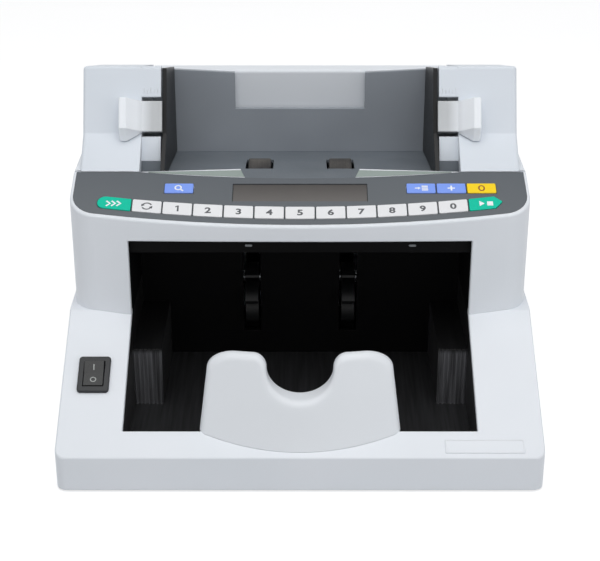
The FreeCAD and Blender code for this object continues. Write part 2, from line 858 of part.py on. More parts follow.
def pocket_tray():
    """Black tray of the pocket, with ribbed steps beside the notes."""
    drop = wall / math.cos(math.radians(deck_angle))
    crest_y = front + (tray_top() + drop - skirt_top) * deck_run / deck_rise
    y0 = pocket_front - liner_wall
    y1 = pocket_back + liner_wall
    low = pocket_floor - liner_wall
    outline = [(y0, low), (y0, deck_z(y0) - drop), (crest_y, tray_top()), (y1, tray_top()), (y1, low)]
    tray = side_prism(outline, -liner_half, liner_half)
    tray = tray.cut(box(-pocket_half, pocket_half, pocket_front, far, pocket_floor, far))
    step_y = head_front + step_lap
    step_top = pocket_floor + step_height
    step = box(pocket_half - step_width, pocket_half, step_y, pocket_back, pocket_floor, step_top)
    rib_pitch = step_width / rib_count
    for index in range(rib_count):
        x = pocket_half - step_width + (index + 0.5) * rib_pitch
        rib = box(x - rib_width / 2, x + rib_width / 2, step_y - rib_depth, step_y, pocket_floor, step_top)
        step = step.fuse(rib)
    return tray.fuse([step, mirrored(step)]).removeSplitter()


def pocket_hood():
    """Black back wall, sides and ceiling of the pocket, with slots for the stacker wheels."""
    y1 = pocket_back + liner_wall
    top = lintel_height - wall / 2
    back_top = top - hood_fall
    hood = side_prism([(hood_front, tray_top()), (hood_front, top), (y1, back_top), (y1, tray_top())],
                      -liner_half, liner_half)
    room = side_prism([
        (hood_front + liner_wall, 0), (hood_front + liner_wall, top - liner_wall),
        (pocket_back, back_top - liner_wall), (pocket_back, 0),
    ], -pocket_half, pocket_half)
    mouth = box(-pocket_half, pocket_half, hood_front - wall, hood_front + 2 * liner_wall, 0, top - hood_lip)
    hood = hood.cut(room.fuse(mouth))
    back = box(-pocket_half, pocket_half, pocket_back, y1, pocket_floor, tray_top())
    hood = hood.fuse(back).removeSplitter()
    slot_half = stacker_width / 2 + wheel_slot_gap
    reach = math.sqrt(stacker_radius ** 2 - (stacker[0] - y1) ** 2) + 2 * wheel_slot_gap
    for side in (-1, 1):
        x = side * stacker_place
        slot = box(x - slot_half, x + slot_half, pocket_back - wall, y1 + wall,
                   stacker_height - reach, stacker_height + reach)
        hood = hood.cut(slot)
    return hood


def stop_outline():
    """Front view of the stacker stop: two lobes with a round notch between them."""
    low = 0.0
    shoulder_z = stop_top - stop_shoulder_drop
    notch_z = stop_top - stop_notch_drop
    bend = 1 - math.sqrt(0.5)
    outer_x = stop_shoulder_half - bend * (stop_shoulder_half - stop_lobe_outer)
    inner_x = stop_notch_half + bend * (stop_lobe_inner - stop_notch_half)
    y = front - far

    def at(x, z):
        return Vector(x, y, z)

    right = [
        (at(stop_notch_half, notch_z), at(inner_x, stop_top - bend * stop_notch_drop),
         at(stop_lobe_inner, stop_top)),
        (at(stop_lobe_inner, stop_top), at(stop_lobe_outer, stop_top)),
        (at(stop_lobe_outer, stop_top), at(outer_x, stop_top - bend * stop_shoulder_drop),
         at(stop_shoulder_half, shoulder_z)),
        (at(stop_shoulder_half, shoulder_z), at(stop_half_width, low)),
    ]
    left = [tuple(Vector(-p.x, p.y, p.z) for p in reversed(run)) for run in reversed(right)]
    notch = (at(-stop_notch_half, notch_z), at(0, stop_notch_bottom), at(stop_notch_half, notch_z))
    floor_line = (at(stop_half_width, low), at(-stop_half_width, low))
    return chain([notch] + right + [floor_line] + left)


def stacker_stop():
    """Leaning, bowed tongue that stands on the front ledge and stops the notes."""
    sheet = Part.Face(stop_outline()).extrude(Vector(0, 2 * far, 0))
    lean = math.tan(math.radians(stop_lean))
    front_y = front + stop_setback
    side_y = front_y + stop_bow
    z0 = deck_z(front_y)
    reach = stop_half_width + wall
    back_y = side_y + stop_thickness
    base = Part.Face(chain([
        (Vector(-reach, side_y, z0), Vector(0, front_y, z0), Vector(reach, side_y, z0)),
        (Vector(reach, side_y, z0), Vector(reach, back_y, z0)),
        (Vector(reach, back_y, z0), Vector(0, back_y - stop_bow / 2, z0), Vector(-reach, back_y, z0)),
        (Vector(-reach, back_y, z0), Vector(-reach, side_y, z0)),
    ]))
    rise = stop_top - z0 + wall
    slab = base.extrude(Vector(0, rise * lean, rise))
    tongue = slab.common(sheet)
    above_deck = side_prism([(front, deck_z(front)), (front, far), (far, far), (far, deck_z(far))], -far, far)
    tongue = tongue.common(above_deck)
    thin_y = back_y - stop_bow / 2 + (stop_notch_bottom - z0) * lean
    thin_lean = math.tan(math.radians(stop_back_lean))
    tongue = tongue.cut(side_prism([
        (thin_y, stop_notch_bottom), (thin_y + (far - stop_notch_bottom) * thin_lean, far), (far, far),
        (far, stop_notch_bottom),
    ], -far, far))

    def on_face(edge):
        point = middle(edge)
        face_y = front_y + stop_bow * (point.x / reach) ** 2 + (point.z - z0) * lean
        return abs(point.y - face_y) < stop_thickness / 4 and point.z > deck_z(point.y) + 1e-3

    def on_back(edge):
        point = middle(edge)
        thinned_y = thin_y + (point.z - stop_notch_bottom) * thin_lean
        return abs(point.y - thinned_y) < 1e-3 and point.z > stop_notch_bottom + 1e-3

    tongue = round_edges(tongue, stop_edge_radius, on_face)
    return round_edges(tongue, stop_back_radius, on_back)


def switch_opening(border):
    """Hole through the deck for the switch body."""
    half = bezel_width / 2 - bezel_rim + border
    half_height = bezel_height / 2 - bezel_rim - rocker_gap + border
    block = box(-half, half, -half_height, half_height, -switch_body_depth - wall, wall)
    block.Placement = deck_frame(switch_x, switch_setback)
    return block


def rocker_room():
    """Half sizes of the switch's opening for the rocker."""
    return bezel_width / 2 - bezel_rim, bezel_height / 2 - bezel_rim - rocker_gap


def switch_bezel():
    """Body of the mains switch, seated on the deck by its bezel."""
    half, half_height = rocker_room()
    rim = box(-bezel_width / 2, bezel_width / 2, -bezel_height / 2, bezel_height / 2, 0, bezel_thickness)
    rim = round_edges(rim, bezel_thickness, is_upright)
    rim = round_edges(rim, bezel_thickness / 3, lambda e: e.BoundBox.ZMin > bezel_thickness - 1e-3)
    body_half = half + switch_body_wall
    body_height = half_height + switch_body_wall
    body = box(-body_half, body_half, -body_height, body_height, -switch_body_depth, 0)
    room = box(-half, half, -half_height, half_height, -switch_body_depth + switch_body_wall, far)
    switch = rim.fuse(body).cut(room).removeSplitter()
    switch.Placement = deck_frame(switch_x, switch_setback)
    return switch


def switch_rocker():
    """Rocker of the mains switch, shown tipped to its off side."""
    half, half_height = rocker_room()
    half -= rocker_gap
    reach = half_height - 2 * rocker_gap
    top = bezel_thickness + rocker_rise
    points = [(-reach, top), (0, bezel_thickness + rocker_dip), (reach, top), (reach, -rocker_dip),
              (reach / 3, -rocker_depth), (-reach / 3, -rocker_depth), (-reach, -rocker_dip)]
    rocker = side_prism(points, -half, half)
    rocker = round_edges(rocker, rocker_gap,
                         lambda e: abs(middle(e).x) > half - 1e-3 and middle(e).z > bezel_thickness)
    pins = cylinder(0, 0, rocker_gap * 2, -half - rocker_gap, half + rocker_gap)
    rocker = rocker.fuse(pins).removeSplitter()
    tip = Placement(Vector(0, 0, 0), Rotation(Vector(1, 0, 0), rocker_swing / 2))
    rocker.Placement = deck_frame(switch_x, switch_setback).multiply(tip)
    return rocker


def frame_y0():
    """Front edge of the side frames."""
    return pocket_back - frame_lap


def side_frame():
    """Right-hand sheet-metal frame with a bearing hole for each shaft."""
    y0 = frame_y0()
    y1 = rear - frame_inset
    frame = side_prism([
        (y0, plate_top), (y0, floor_z(y0) - floor_thickness),
        (y1, floor_z(y1) - floor_thickness), (y1, plate_top),
    ], frame_x, frame_x + frame_thickness)
    for y, z in (pick, feed, pinch, stacker):
        frame = frame.cut(cylinder(y, z, bush_radius, 0, far))
    for y, z, radius in rod_places():
        frame = frame.cut(cylinder(y, z, radius, 0, far))
    return frame


def motor_frame():
    """Right-hand frame, with the hole for the motor's boss."""
    return side_frame().cut(cylinder(motor[0], motor[1], motor_boss_radius, 0, far))


def rod_places():
    """Tie rods and the rod of the note guides, each with its radius."""
    front_y = pocket_back + tie_gap
    places = [(front_y, tie_low), (rear - tie_inset, tie_middle), (front_y, tie_high)]
    rods = [(y, z, tie_radius) for y, z in places]
    return rods + [(guide_rod_y, floor_z(guide_rod_y) - guide_rod_drop, guide_rod_radius)]


def tie_rods():
    """Rods that hold the frames together, one of which carries the note guides."""
    reach = frame_x + frame_thickness
    return Part.makeCompound([cylinder(y, z, radius, -reach, reach) for y, z, radius in rod_places()])


def bearings():
    """Flanged bushes in the frames."""
    bushes = []
    for y, z in (pick, feed, pinch, stacker):
        bush = cylinder(y, z, bush_radius, frame_x, frame_x + frame_thickness)
        bush = bush.fuse(cylinder(y, z, bush_flange_radius, frame_x + frame_thickness,
                                  frame_x + frame_thickness + bush_flange))
        bush = bush.cut(cylinder(y, z, shaft_radius + running_gap, 0, far)).removeSplitter()
        bushes += [bush, mirrored(bush)]
    return Part.makeCompound(bushes)


def shaft(place, left, right):
    """Plain shaft between two ends."""
    return cylinder(place[0], place[1], shaft_radius, left, right)


def outer_end():
    """End of a shaft that carries a pulley."""
    return pulley_x + pulley_width


def roller_pair(place, radius, x, width, bore):
    """Two rubber-covered rollers on one shaft, each with a softened rim."""
    roller = cylinder(place[0], place[1], radius, x - width / 2, x + width / 2)
    roller = round_edges(roller, 1.0, lambda e: e.BoundBox.XLength < 1e-3)
    roller = roller.cut(cylinder(place[0], place[1], bore, 0, far))
    return both_sides(roller)


def pinch_rollers(end):
    """Idle shaft with two rollers moulded on, which press the notes against the feed rollers."""
    rollers = roller_pair(pinch, pinch_roller_radius, feed_roller_place, feed_roller_width, shaft_radius)
    return shaft(pinch, -end, end).fuse(rollers.Solids).removeSplitter()


def finger(turn):
    """One curved rubber finger of a stacker wheel, on the wheel's own axis."""
    stations = ((stacker_hub_radius * 0.9, 0.0), (stacker_radius * 0.66, 0.3), (stacker_radius, 1.0))

    def side(offset):
        points = []
        for radius, share in stations:
            angle = math.radians(turn + finger_sweep * share) + offset / radius
            points.append(Vector(0, radius * math.cos(angle), radius * math.sin(angle)))
        return points

    near = side(0)
    away = side(finger_thickness)
    face = Part.Face(chain([tuple(near), (near[2], away[2]), tuple(reversed(away)), (away[0], near[0])]))
    return face.extrude(Vector(stacker_width, 0, 0))


def stacker_wheels():
    """Two wheels with curved fingers that lay the notes into the pocket."""
    hub = cylinder(0, 0, stacker_hub_radius, 0, stacker_width)
    wheel = hub.fuse([finger(index * 360 / finger_count) for index in range(finger_count)]).removeSplitter()
    wheel = wheel.cut(cylinder(0, 0, shaft_radius, -far, far))
    wheel.translate(Vector(stacker_place - stacker_width / 2, stacker[0], stacker[1]))
    return both_sides(wheel)


def pulley(place, radius, bore, side):
    """Flanged belt pulley outside the right or left frame."""
    rim = (pulley_width - belt_width) / 2 - belt_gap
    x1 = pulley_x + pulley_width
    wheel = cylinder(place[0], place[1], radius, pulley_x, x1)
    wheel = wheel.fuse([
        cylinder(place[0], place[1], radius + pulley_flange, pulley_x, pulley_x + rim),
        cylinder(place[0], place[1], radius + pulley_flange, x1 - rim, x1),
    ]).cut(cylinder(place[0], place[1], bore, 0, far)).removeSplitter()
    return wheel if side > 0 else mirrored(wheel)


def belt_wire(circles, x):
    """Closed line drawn tight round circles (y, z, radius) that are listed anticlockwise."""
    count = len(circles)
    angles = []
    for index in range(count):
        y0, z0, r0 = circles[index]
        y1, z1, r1 = circles[(index + 1) % count]
        heading = math.atan2(z1 - z0, y1 - y0)
        angles.append(heading - math.acos((r0 - r1) / math.hypot(y1 - y0, z1 - z0)))

    def at(circle, angle):
        y, z, radius = circle
        return Vector(x, y + radius * math.cos(angle), z + radius * math.sin(angle))

    runs = []
    for index in range(count):
        circle = circles[index]
        arrive = angles[index - 1]
        leave = arrive + (angles[index] - arrive) % (2 * math.pi)
        runs.append((at(circle, arrive), at(circle, (arrive + leave) / 2), at(circle, leave)))
        runs.append((at(circle, leave), at(circles[(index + 1) % count], leave)))
    return chain(runs)


def belt(circles, side):
    """Flat belt round a set of pulleys, clear of them by the belt gap."""
    x0 = pulley_x + (pulley_width - belt_width) / 2
    inner = [(y, z, radius + belt_gap) for y, z, radius in circles]
    outer = [(y, z, radius + belt_gap + belt_thickness) for y, z, radius in circles]
    ring = Part.Face(belt_wire(outer, x0)).cut(Part.Face(belt_wire(inner, x0)))
    loop = ring.extrude(Vector(belt_width, 0, 0))
    return loop if side > 0 else mirrored(loop)


def drive_belts():
    """Main belt on the right and the pick rollers' belt on the left."""
    main = [(*motor, motor_pulley_radius), (*feed, feed_pulley_radius), (*stacker, stacker_pulley_radius)]
    pair = [(*feed, pick_pulley_radius), (*pick, pick_pulley_radius)]
    return Part.makeCompound([belt(main, 1), belt(pair, -1)])


def drive_motor():
    """Drive motor on the inside of the right-hand frame."""
    y, z = motor
    can = cylinder(y, z, motor_radius, frame_x - motor_length, frame_x)
    can = round_edges(can, 1.5, lambda e: e.BoundBox.XMax < frame_x - motor_length + 1e-3)
    boss = cylinder(y, z, motor_boss_radius, frame_x, frame_x + frame_thickness)
    cap = cylinder(y, z, motor_radius / 2, frame_x - motor_length - wall, frame_x - motor_length)
    bore = cylinder(y, z, motor_shaft_radius + running_gap, frame_x - motor_length / 2, far)
    return can.fuse([boss, cap]).cut(bore).removeSplitter()


def motor_shaft():
    """Motor shaft, which carries the drive pulley."""
    y, z = motor
    return cylinder(y, z, motor_shaft_radius, frame_x - motor_length / 2 + running_gap, outer_end())


def encoder_disc():
    """Slotted disc on the left end of the stacker shaft."""
    y, z = stacker
    disc = cylinder(y, z, encoder_radius, pulley_x, pulley_x + encoder_thickness)
    disc = disc.cut(cylinder(y, z, shaft_radius, 0, far))
    slot = box(0, far, encoder_radius * 0.7, encoder_radius * 0.92, -0.8, 0.8)
    for index in range(encoder_slots):
        cut = slot.copy()
        cut.rotate(Vector(0, 0, 0), Vector(1, 0, 0), index * 360 / encoder_slots)
        cut.translate(Vector(0, y, z))
        disc = disc.cut(cut)
    return mirrored(disc)


def main_board():
    """Main circuit board, standing on the bottom plate beside the right-hand wall."""
    x1 = base_width / 2 - wall - board_side_gap
    x0 = x1 - board_thickness
    y0 = rear - main_board_inset
    board = box(x0, x1, y0, y0 + main_board_length, plate_top, plate_top + main_board_height)
    chips = []
    for share in (0.2, 0.45, 0.7):
        y = y0 + main_board_length * share
        z = plate_top + main_board_height / 2
        chips.append(box(x0 - chip_height, x0, y, y + chip_size, z - chip_size / 2, z + chip_size / 2))
    return board.fuse(chips).removeSplitter()


def power_supply():
    """Supply board with its transformer and capacitors, beside the left-hand wall."""
    x0 = -base_width / 2 + wall + board_side_gap
    x1 = x0 + board_thickness
    y0 = rear - supply_inset
    z0 = plate_top
    board = box(x0, x1, y0, y0 + supply_length, z0, z0 + supply_height)
    coil = box(x1, x1 + coil_height, y0 + wall, y0 + wall + coil_size, z0 + wall, z0 + wall + coil_size)
    can_z = z0 + supply_height * 0.7
    cans = [cylinder(y0 + supply_length * share, can_z, coil_size / 4, x1, x1 + coil_height)
            for share in (0.5, 0.75)]
    return board.fuse([coil] + cans).removeSplitter()


def inlet_span():
    """Left and right edge of the mains inlet, between the left frame and the case wall."""
    centre = -(frame_x + frame_thickness + base_width / 2 - wall) / 2
    return centre - inlet_width / 2, centre + inlet_width / 2


def mains_inlet():
    """Mains inlet in the rear wall, with its three pins."""
    x0, x1 = inlet_span()
    gap = plate_clearance
    z0 = inlet_bottom
    z1 = inlet_bottom + inlet_height
    border = inlet_flange_border
    flange = box(x0 + gap, x1 - gap, rear - wall - inlet_flange, rear - wall, z0 - border, z1 + border)
    body = box(x0 + gap, x1 - gap, rear - inlet_depth, rear, z0 + gap, z1 - gap)
    mouth_border = inlet_mouth_border
    mouth = box(x0 + mouth_border, x1 - mouth_border, rear - inlet_mouth_depth, far, z0 + mouth_border,
                z1 - mouth_border)
    inlet = flange.fuse(body).cut(mouth).removeSplitter()
    centre_x = (x0 + x1) / 2
    centre_z = (z0 + z1) / 2
    pins = []
    for step in (-1, 0, 1):
        x = centre_x + (pin_width if step == 0 else -pin_width)
        z = centre_z + step * pin_spread
        pins.append(box(x - pin_width / 2, x + pin_width / 2, rear - inlet_mouth_depth,
                        rear - inlet_mouth_depth + pin_length, z - pin_width, z + pin_width))
    return inlet.fuse(pins).removeSplitter()


def screw_places():
    """Centres (x, z) of the screws on the back of the head."""
    x = head_width / 2 - base_rear_radius - screw_margin
    heights = (split_height + screw_margin, panel_top_height - screw_margin)
    return [(side * x, z) for side in (-1, 1) for z in heights]


def case_screws():
    """Cross-slotted screws, flush in the back of the head."""
    screws = []
    for x, z in screw_places():
        head = Part.makeCylinder(screw_radius, screw_head, Vector(x, rear - screw_head, z), Vector(0, 1, 0))
        head = round_edges(head, screw_head / 3, lambda e: e.BoundBox.YMin > rear - 1e-3)
        arm = screw_radius * 0.7
        for wide, tall in ((arm, screw_slot / 2), (screw_slot / 2, arm)):
            head = head.cut(box(x - wide, x + wide, rear - screw_head / 2, far, z - tall, z + tall))
        screws.append(head)
    return Part.makeCompound(screws)


def write_case():
    """Case, covers and panel."""
    write("base_housing", base_housing())
    write("bottom_plate", bottom_plate())
    write("rubber_feet", rubber_feet())
    write("front_cover", front_cover())
    write("rear_cover", rear_cover())
    write("panel_overlay", panel_overlay())
    write("display_window", display_window())
    write("display_module", display_module())
    write("key_board", key_board())
    write("stacker_stop", stacker_stop())
    write("switch_bezel", switch_bezel())
    write("switch_rocker", switch_rocker())
    write("case_screws", case_screws())
    write("pocket_tray", pocket_tray())
    write("pocket_hood", pocket_hood())


def write_hopper():
    """Hopper with its guides."""
    for name, piece in (("hopper_side", hopper_side()), ("guide_plate", guide_plate()),
                        ("guide_slider", guide_slider())):
        write(name + "_right", piece)
        write(name + "_left", mirrored(piece))
    write("hopper_floor", hopper_floor())
    write("hopper_back_plate", hopper_back_plate())


def write_drive():
    """Frames, shafts, rollers, belts and electrics."""
    short = frame_x + frame_thickness + bush_flange
    write("side_frames", Part.makeCompound([motor_frame(), mirrored(side_frame())]))
    write("tie_rods", tie_rods())
    write("bearings", bearings())
    write("pick_shaft", shaft(pick, -outer_end(), short))
    write("pick_rollers", roller_pair(pick, pick_roller_radius, pick_roller_place, pick_roller_width,
                                      shaft_radius))
    write("pick_pulley", pulley(pick, pick_pulley_radius, shaft_radius, -1))
    write("feed_shaft", shaft(feed, -outer_end(), outer_end()))
    write("feed_rollers", roller_pair(feed, feed_roller_radius, feed_roller_place, feed_roller_width,
                                      shaft_radius))
    write("feed_pulleys", Part.makeCompound([
        pulley(feed, feed_pulley_radius, shaft_radius, 1),
        pulley(feed, pick_pulley_radius, shaft_radius, -1)]))
    write("pinch_rollers", pinch_rollers(short))
    write("stacker_shaft", shaft(stacker, -outer_end(), outer_end()))
    write("stacker_wheels", stacker_wheels())
    write("stacker_pulley", pulley(stacker, stacker_pulley_radius, shaft_radius, 1))
    write("encoder_disc", encoder_disc())
    write("drive_motor", drive_motor())
    write("motor_pulley", Part.makeCompound([
        motor_shaft(), pulley(motor, motor_pulley_radius, motor_shaft_radius, 1)]))
    write("drive_belts", drive_belts())
    write("main_board", main_board())
    write("power_supply", power_supply())
    write("mains_inlet", mains_inlet())


os.makedirs("parts", exist_ok=True)
write_case()
write_keys()
write_hopper()
write_drive()
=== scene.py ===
"""Looks of a desk-top banknote counter: finishes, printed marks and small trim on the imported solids."""

import logging
import math
from dataclasses import dataclass, field
from enum import Enum
from functools import cache, partial
from typing import ClassVar, Iterable, Sequence

import bpy
import numpy as np
from mathutils import Matrix, Vector


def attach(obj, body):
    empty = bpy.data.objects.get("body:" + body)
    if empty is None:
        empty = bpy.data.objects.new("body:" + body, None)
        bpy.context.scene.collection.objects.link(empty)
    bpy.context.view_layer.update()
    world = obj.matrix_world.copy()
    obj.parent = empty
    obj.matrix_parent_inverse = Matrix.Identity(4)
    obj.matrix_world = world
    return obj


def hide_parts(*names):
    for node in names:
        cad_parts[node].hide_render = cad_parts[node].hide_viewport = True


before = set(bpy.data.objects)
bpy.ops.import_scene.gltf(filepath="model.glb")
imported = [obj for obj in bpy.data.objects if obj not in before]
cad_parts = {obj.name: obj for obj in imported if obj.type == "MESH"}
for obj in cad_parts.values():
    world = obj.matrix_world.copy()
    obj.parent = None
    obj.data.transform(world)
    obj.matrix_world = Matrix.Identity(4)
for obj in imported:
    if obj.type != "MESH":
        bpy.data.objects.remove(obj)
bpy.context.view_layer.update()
log = logging.getLogger("counter")

Colour = tuple[float, float, float, float]
Looks = dict[str, Sequence[str]]
Socket = bpy.types.NodeSocket

MM = 0.001
IN_MM = Matrix.Scale(MM, 4)
SIDES = {"left": -1, "right": 1}
SHARP_ANGLE = math.radians(50.0)
TINY = 1e-12
NOISE_WIDE = (0.3, 0.7)
NOISE_NARROW = (0.35, 0.65)


def linear(screen: Sequence[int]) -> Colour:
    """A screen colour as scene-linear RGBA: c / 12.92 near black, ((c + 0.055) / 1.055)^2.4 above.

    Args:
        screen: the colour in 8-bit values.
    Returns:
        The linear colour.
    """
    share = np.array(screen, float) / 255.0
    light = np.where(share <= 0.04045, share / 12.92, ((share + 0.055) / 1.055) ** 2.4)
    return (*(float(v) for v in light), 1.0)


WHITE = linear((255, 255, 255))
DUST = linear((176, 170, 160))
# Grey of the painted shade on the sliders near the hopper's middle.
SLIDER_SHADE = linear((184, 187, 189))


class Tone(Enum):
    """Pairs of colours that a finish runs between, as 8-bit screen values."""

    CASE = ((227, 232, 238), (231, 235, 241))
    STOP = ((225, 229, 234), (229, 233, 238))
    # The case's plastic darkened for the hopper blocks: painted shade on their facets.
    BLOCK = ((213, 220, 228), (219, 225, 233))
    SLIDER = ((240, 244, 250), (245, 249, 254))
    FILM = ((88, 93, 99), (102, 107, 111))
    # The first colour is the window's top in painted shade, the second its lower part.
    WINDOW = ((62, 58, 56), (100, 97, 95))
    # Greenish grey of the ramps behind the film: partly a tint, partly painted shade on their faces.
    LIP = ((136, 148, 143), (143, 155, 151))
    KEY_WHITE = ((230, 231, 234), (236, 237, 239))
    KEY_GREEN = ((0, 192, 160), (0, 200, 168))
    KEY_BLUE = ((126, 158, 242), (134, 166, 248))
    KEY_YELLOW = ((250, 213, 30), (255, 220, 40))
    INK_GREY = ((88, 90, 94), (76, 78, 82))
    INK_WHITE = ((234, 237, 242), (246, 248, 250))
    INK_PALE = ((150, 154, 152), (168, 172, 170))
    INK_BROWN = ((152, 90, 24), (138, 76, 12))
    # The second colour is the streaks' grey, which is also the painted light on the pocket steps' fronts.
    POCKET = ((16, 16, 17), (114, 115, 119))
    HOOD = ((6, 6, 7), (10, 10, 11))
    LENS = ((104, 109, 114), (132, 137, 142))
    GUIDE = ((8, 9, 10), (15, 16, 18))
    PLATE = ((146, 152, 160), (160, 166, 174))
    HOPPER = ((98, 105, 112), (112, 119, 127))
    ROCKER = ((17, 18, 19), (26, 28, 29))
    SWITCH = ((26, 28, 30), (38, 40, 43))
    RUBBER = ((38, 38, 40), (58, 57, 58))
    STEEL = ((168, 172, 178), (204, 207, 211))
    ZINC = ((150, 155, 162), (186, 190, 196))
    PAINT = ((34, 35, 37), (50, 51, 54))
    BRONZE = ((138, 98, 52), (186, 142, 84))
    PULLEY = ((30, 31, 33), (46, 47, 50))
    BOARD = ((12, 66, 40), (28, 100, 62))
    FLOOR = ((202, 203, 205), (208, 209, 211))


class Tree:
    """Short way of adding and joining shader nodes in one tree."""

    def __init__(self, tree: bpy.types.NodeTree) -> None:
        """Keeps the node tree that is filled."""
        self.tree = tree

    def add(self, kind: str, **settings: object) -> bpy.types.Node:
        """Adds a node.

        Args:
            kind: the node's class name without its ShaderNode prefix.
            settings: attributes of the node.
        Returns:
            The new node.
        """
        prefix = "" if kind.startswith("Node") else "ShaderNode"
        node = self.tree.nodes.new(prefix + kind)
        for name, value in settings.items():
            setattr(node, name, value)
        return node

    def feed(self, socket: Socket, source: object) -> None:
        """Joins an output to an input, or sets a constant on it.

        Args:
            socket: the input.
            source: an output, or the constant.
        """
        if isinstance(source, Socket):
            self.tree.links.new(source, socket)
        else:
            socket.default_value = source

    def joined(self, node: bpy.types.Node, values: dict[int | str, object], output: int | str = 0) -> Socket:
        """Feeds some inputs of a node.

        Args:
            node: the node.
            values: what goes into each input, by its name or number.
            output: name or number of the output that is wanted.
        Returns:
            That output.
        """
        for name, value in values.items():
            self.feed(node.inputs[name], value)
        return node.outputs[output]

    def maths(self, operation: str, *values: object) -> Socket:
        """Output of a Math node on sockets or numbers."""
        return self.joined(self.add("Math", operation=operation), dict(enumerate(values)))

    def spread(self, value: object, low: float, high: float, to_low: float = 0.0,
               to_high: float = 1.0) -> Socket:
        """A range of a value, mapped onto another range and held within it."""
        return self.joined(self.add("MapRange"), dict(enumerate((value, low, high, to_low, to_high))))

    def between(self, share: object, low: float, high: float) -> Socket:
        """The value that lies at a share of the way from one number to another."""
        return self.spread(share, 0.0, 1.0, low, high)

    def weighted(self, first: object, share: float, second: object) -> Socket:
        """The sum of two values, the first times a share and the second times the rest."""
        return self.maths("MULTIPLY_ADD", first, share, self.maths("MULTIPLY", second, 1.0 - share))

    def blend(self, share: object, first: object, second: object) -> Socket:
        """The colour that lies at a share of the way from one colour to another."""
        return self.joined(self.add("Mix", data_type="RGBA"), {0: share, 6: first, 7: second}, 2)

    def toned(self, share: object, tone: Tone) -> Socket:
        """The colour that lies at a share of the way between a tone's two colours."""
        return self.blend(share, *(linear(screen) for screen in tone.value))

    def noise(self, place: object, scale: object, detail: float = 3.0, rough: float = 0.55) -> Socket:
        """Value of a noise on a place vector."""
        values = {"Vector": place, "Scale": scale, "Detail": detail, "Roughness": rough}
        return self.joined(self.add("TexNoise"), values)

    def cells(self, place: object, scale: object, output: str = "Distance", **settings: str) -> Socket:
        """One output of a pattern of cells on a place vector."""
        return self.joined(self.add("TexVoronoi", **settings), {"Vector": place, "Scale": scale}, output)

    def place(self) -> Socket:
        """The place on the piece in its own coordinates."""
        return self.add("TexCoord").outputs["Object"]

    def facing(self, axis: str) -> Socket:
        """How far the surface looks along an axis of the piece."""
        return self.part(self.add("TexCoord").outputs["Normal"], axis)

    def part(self, vector: object, axis: str) -> Socket:
        """The X, Y or Z part of a vector."""
        return self.joined(self.add("SeparateXYZ"), {0: vector}, axis)

    def stretched(self, place: object, factors: tuple[float, float, float]) -> Socket:
        """A place vector scaled along its axes."""
        return self.joined(self.add("Mapping"), {"Vector": place, "Scale": factors})


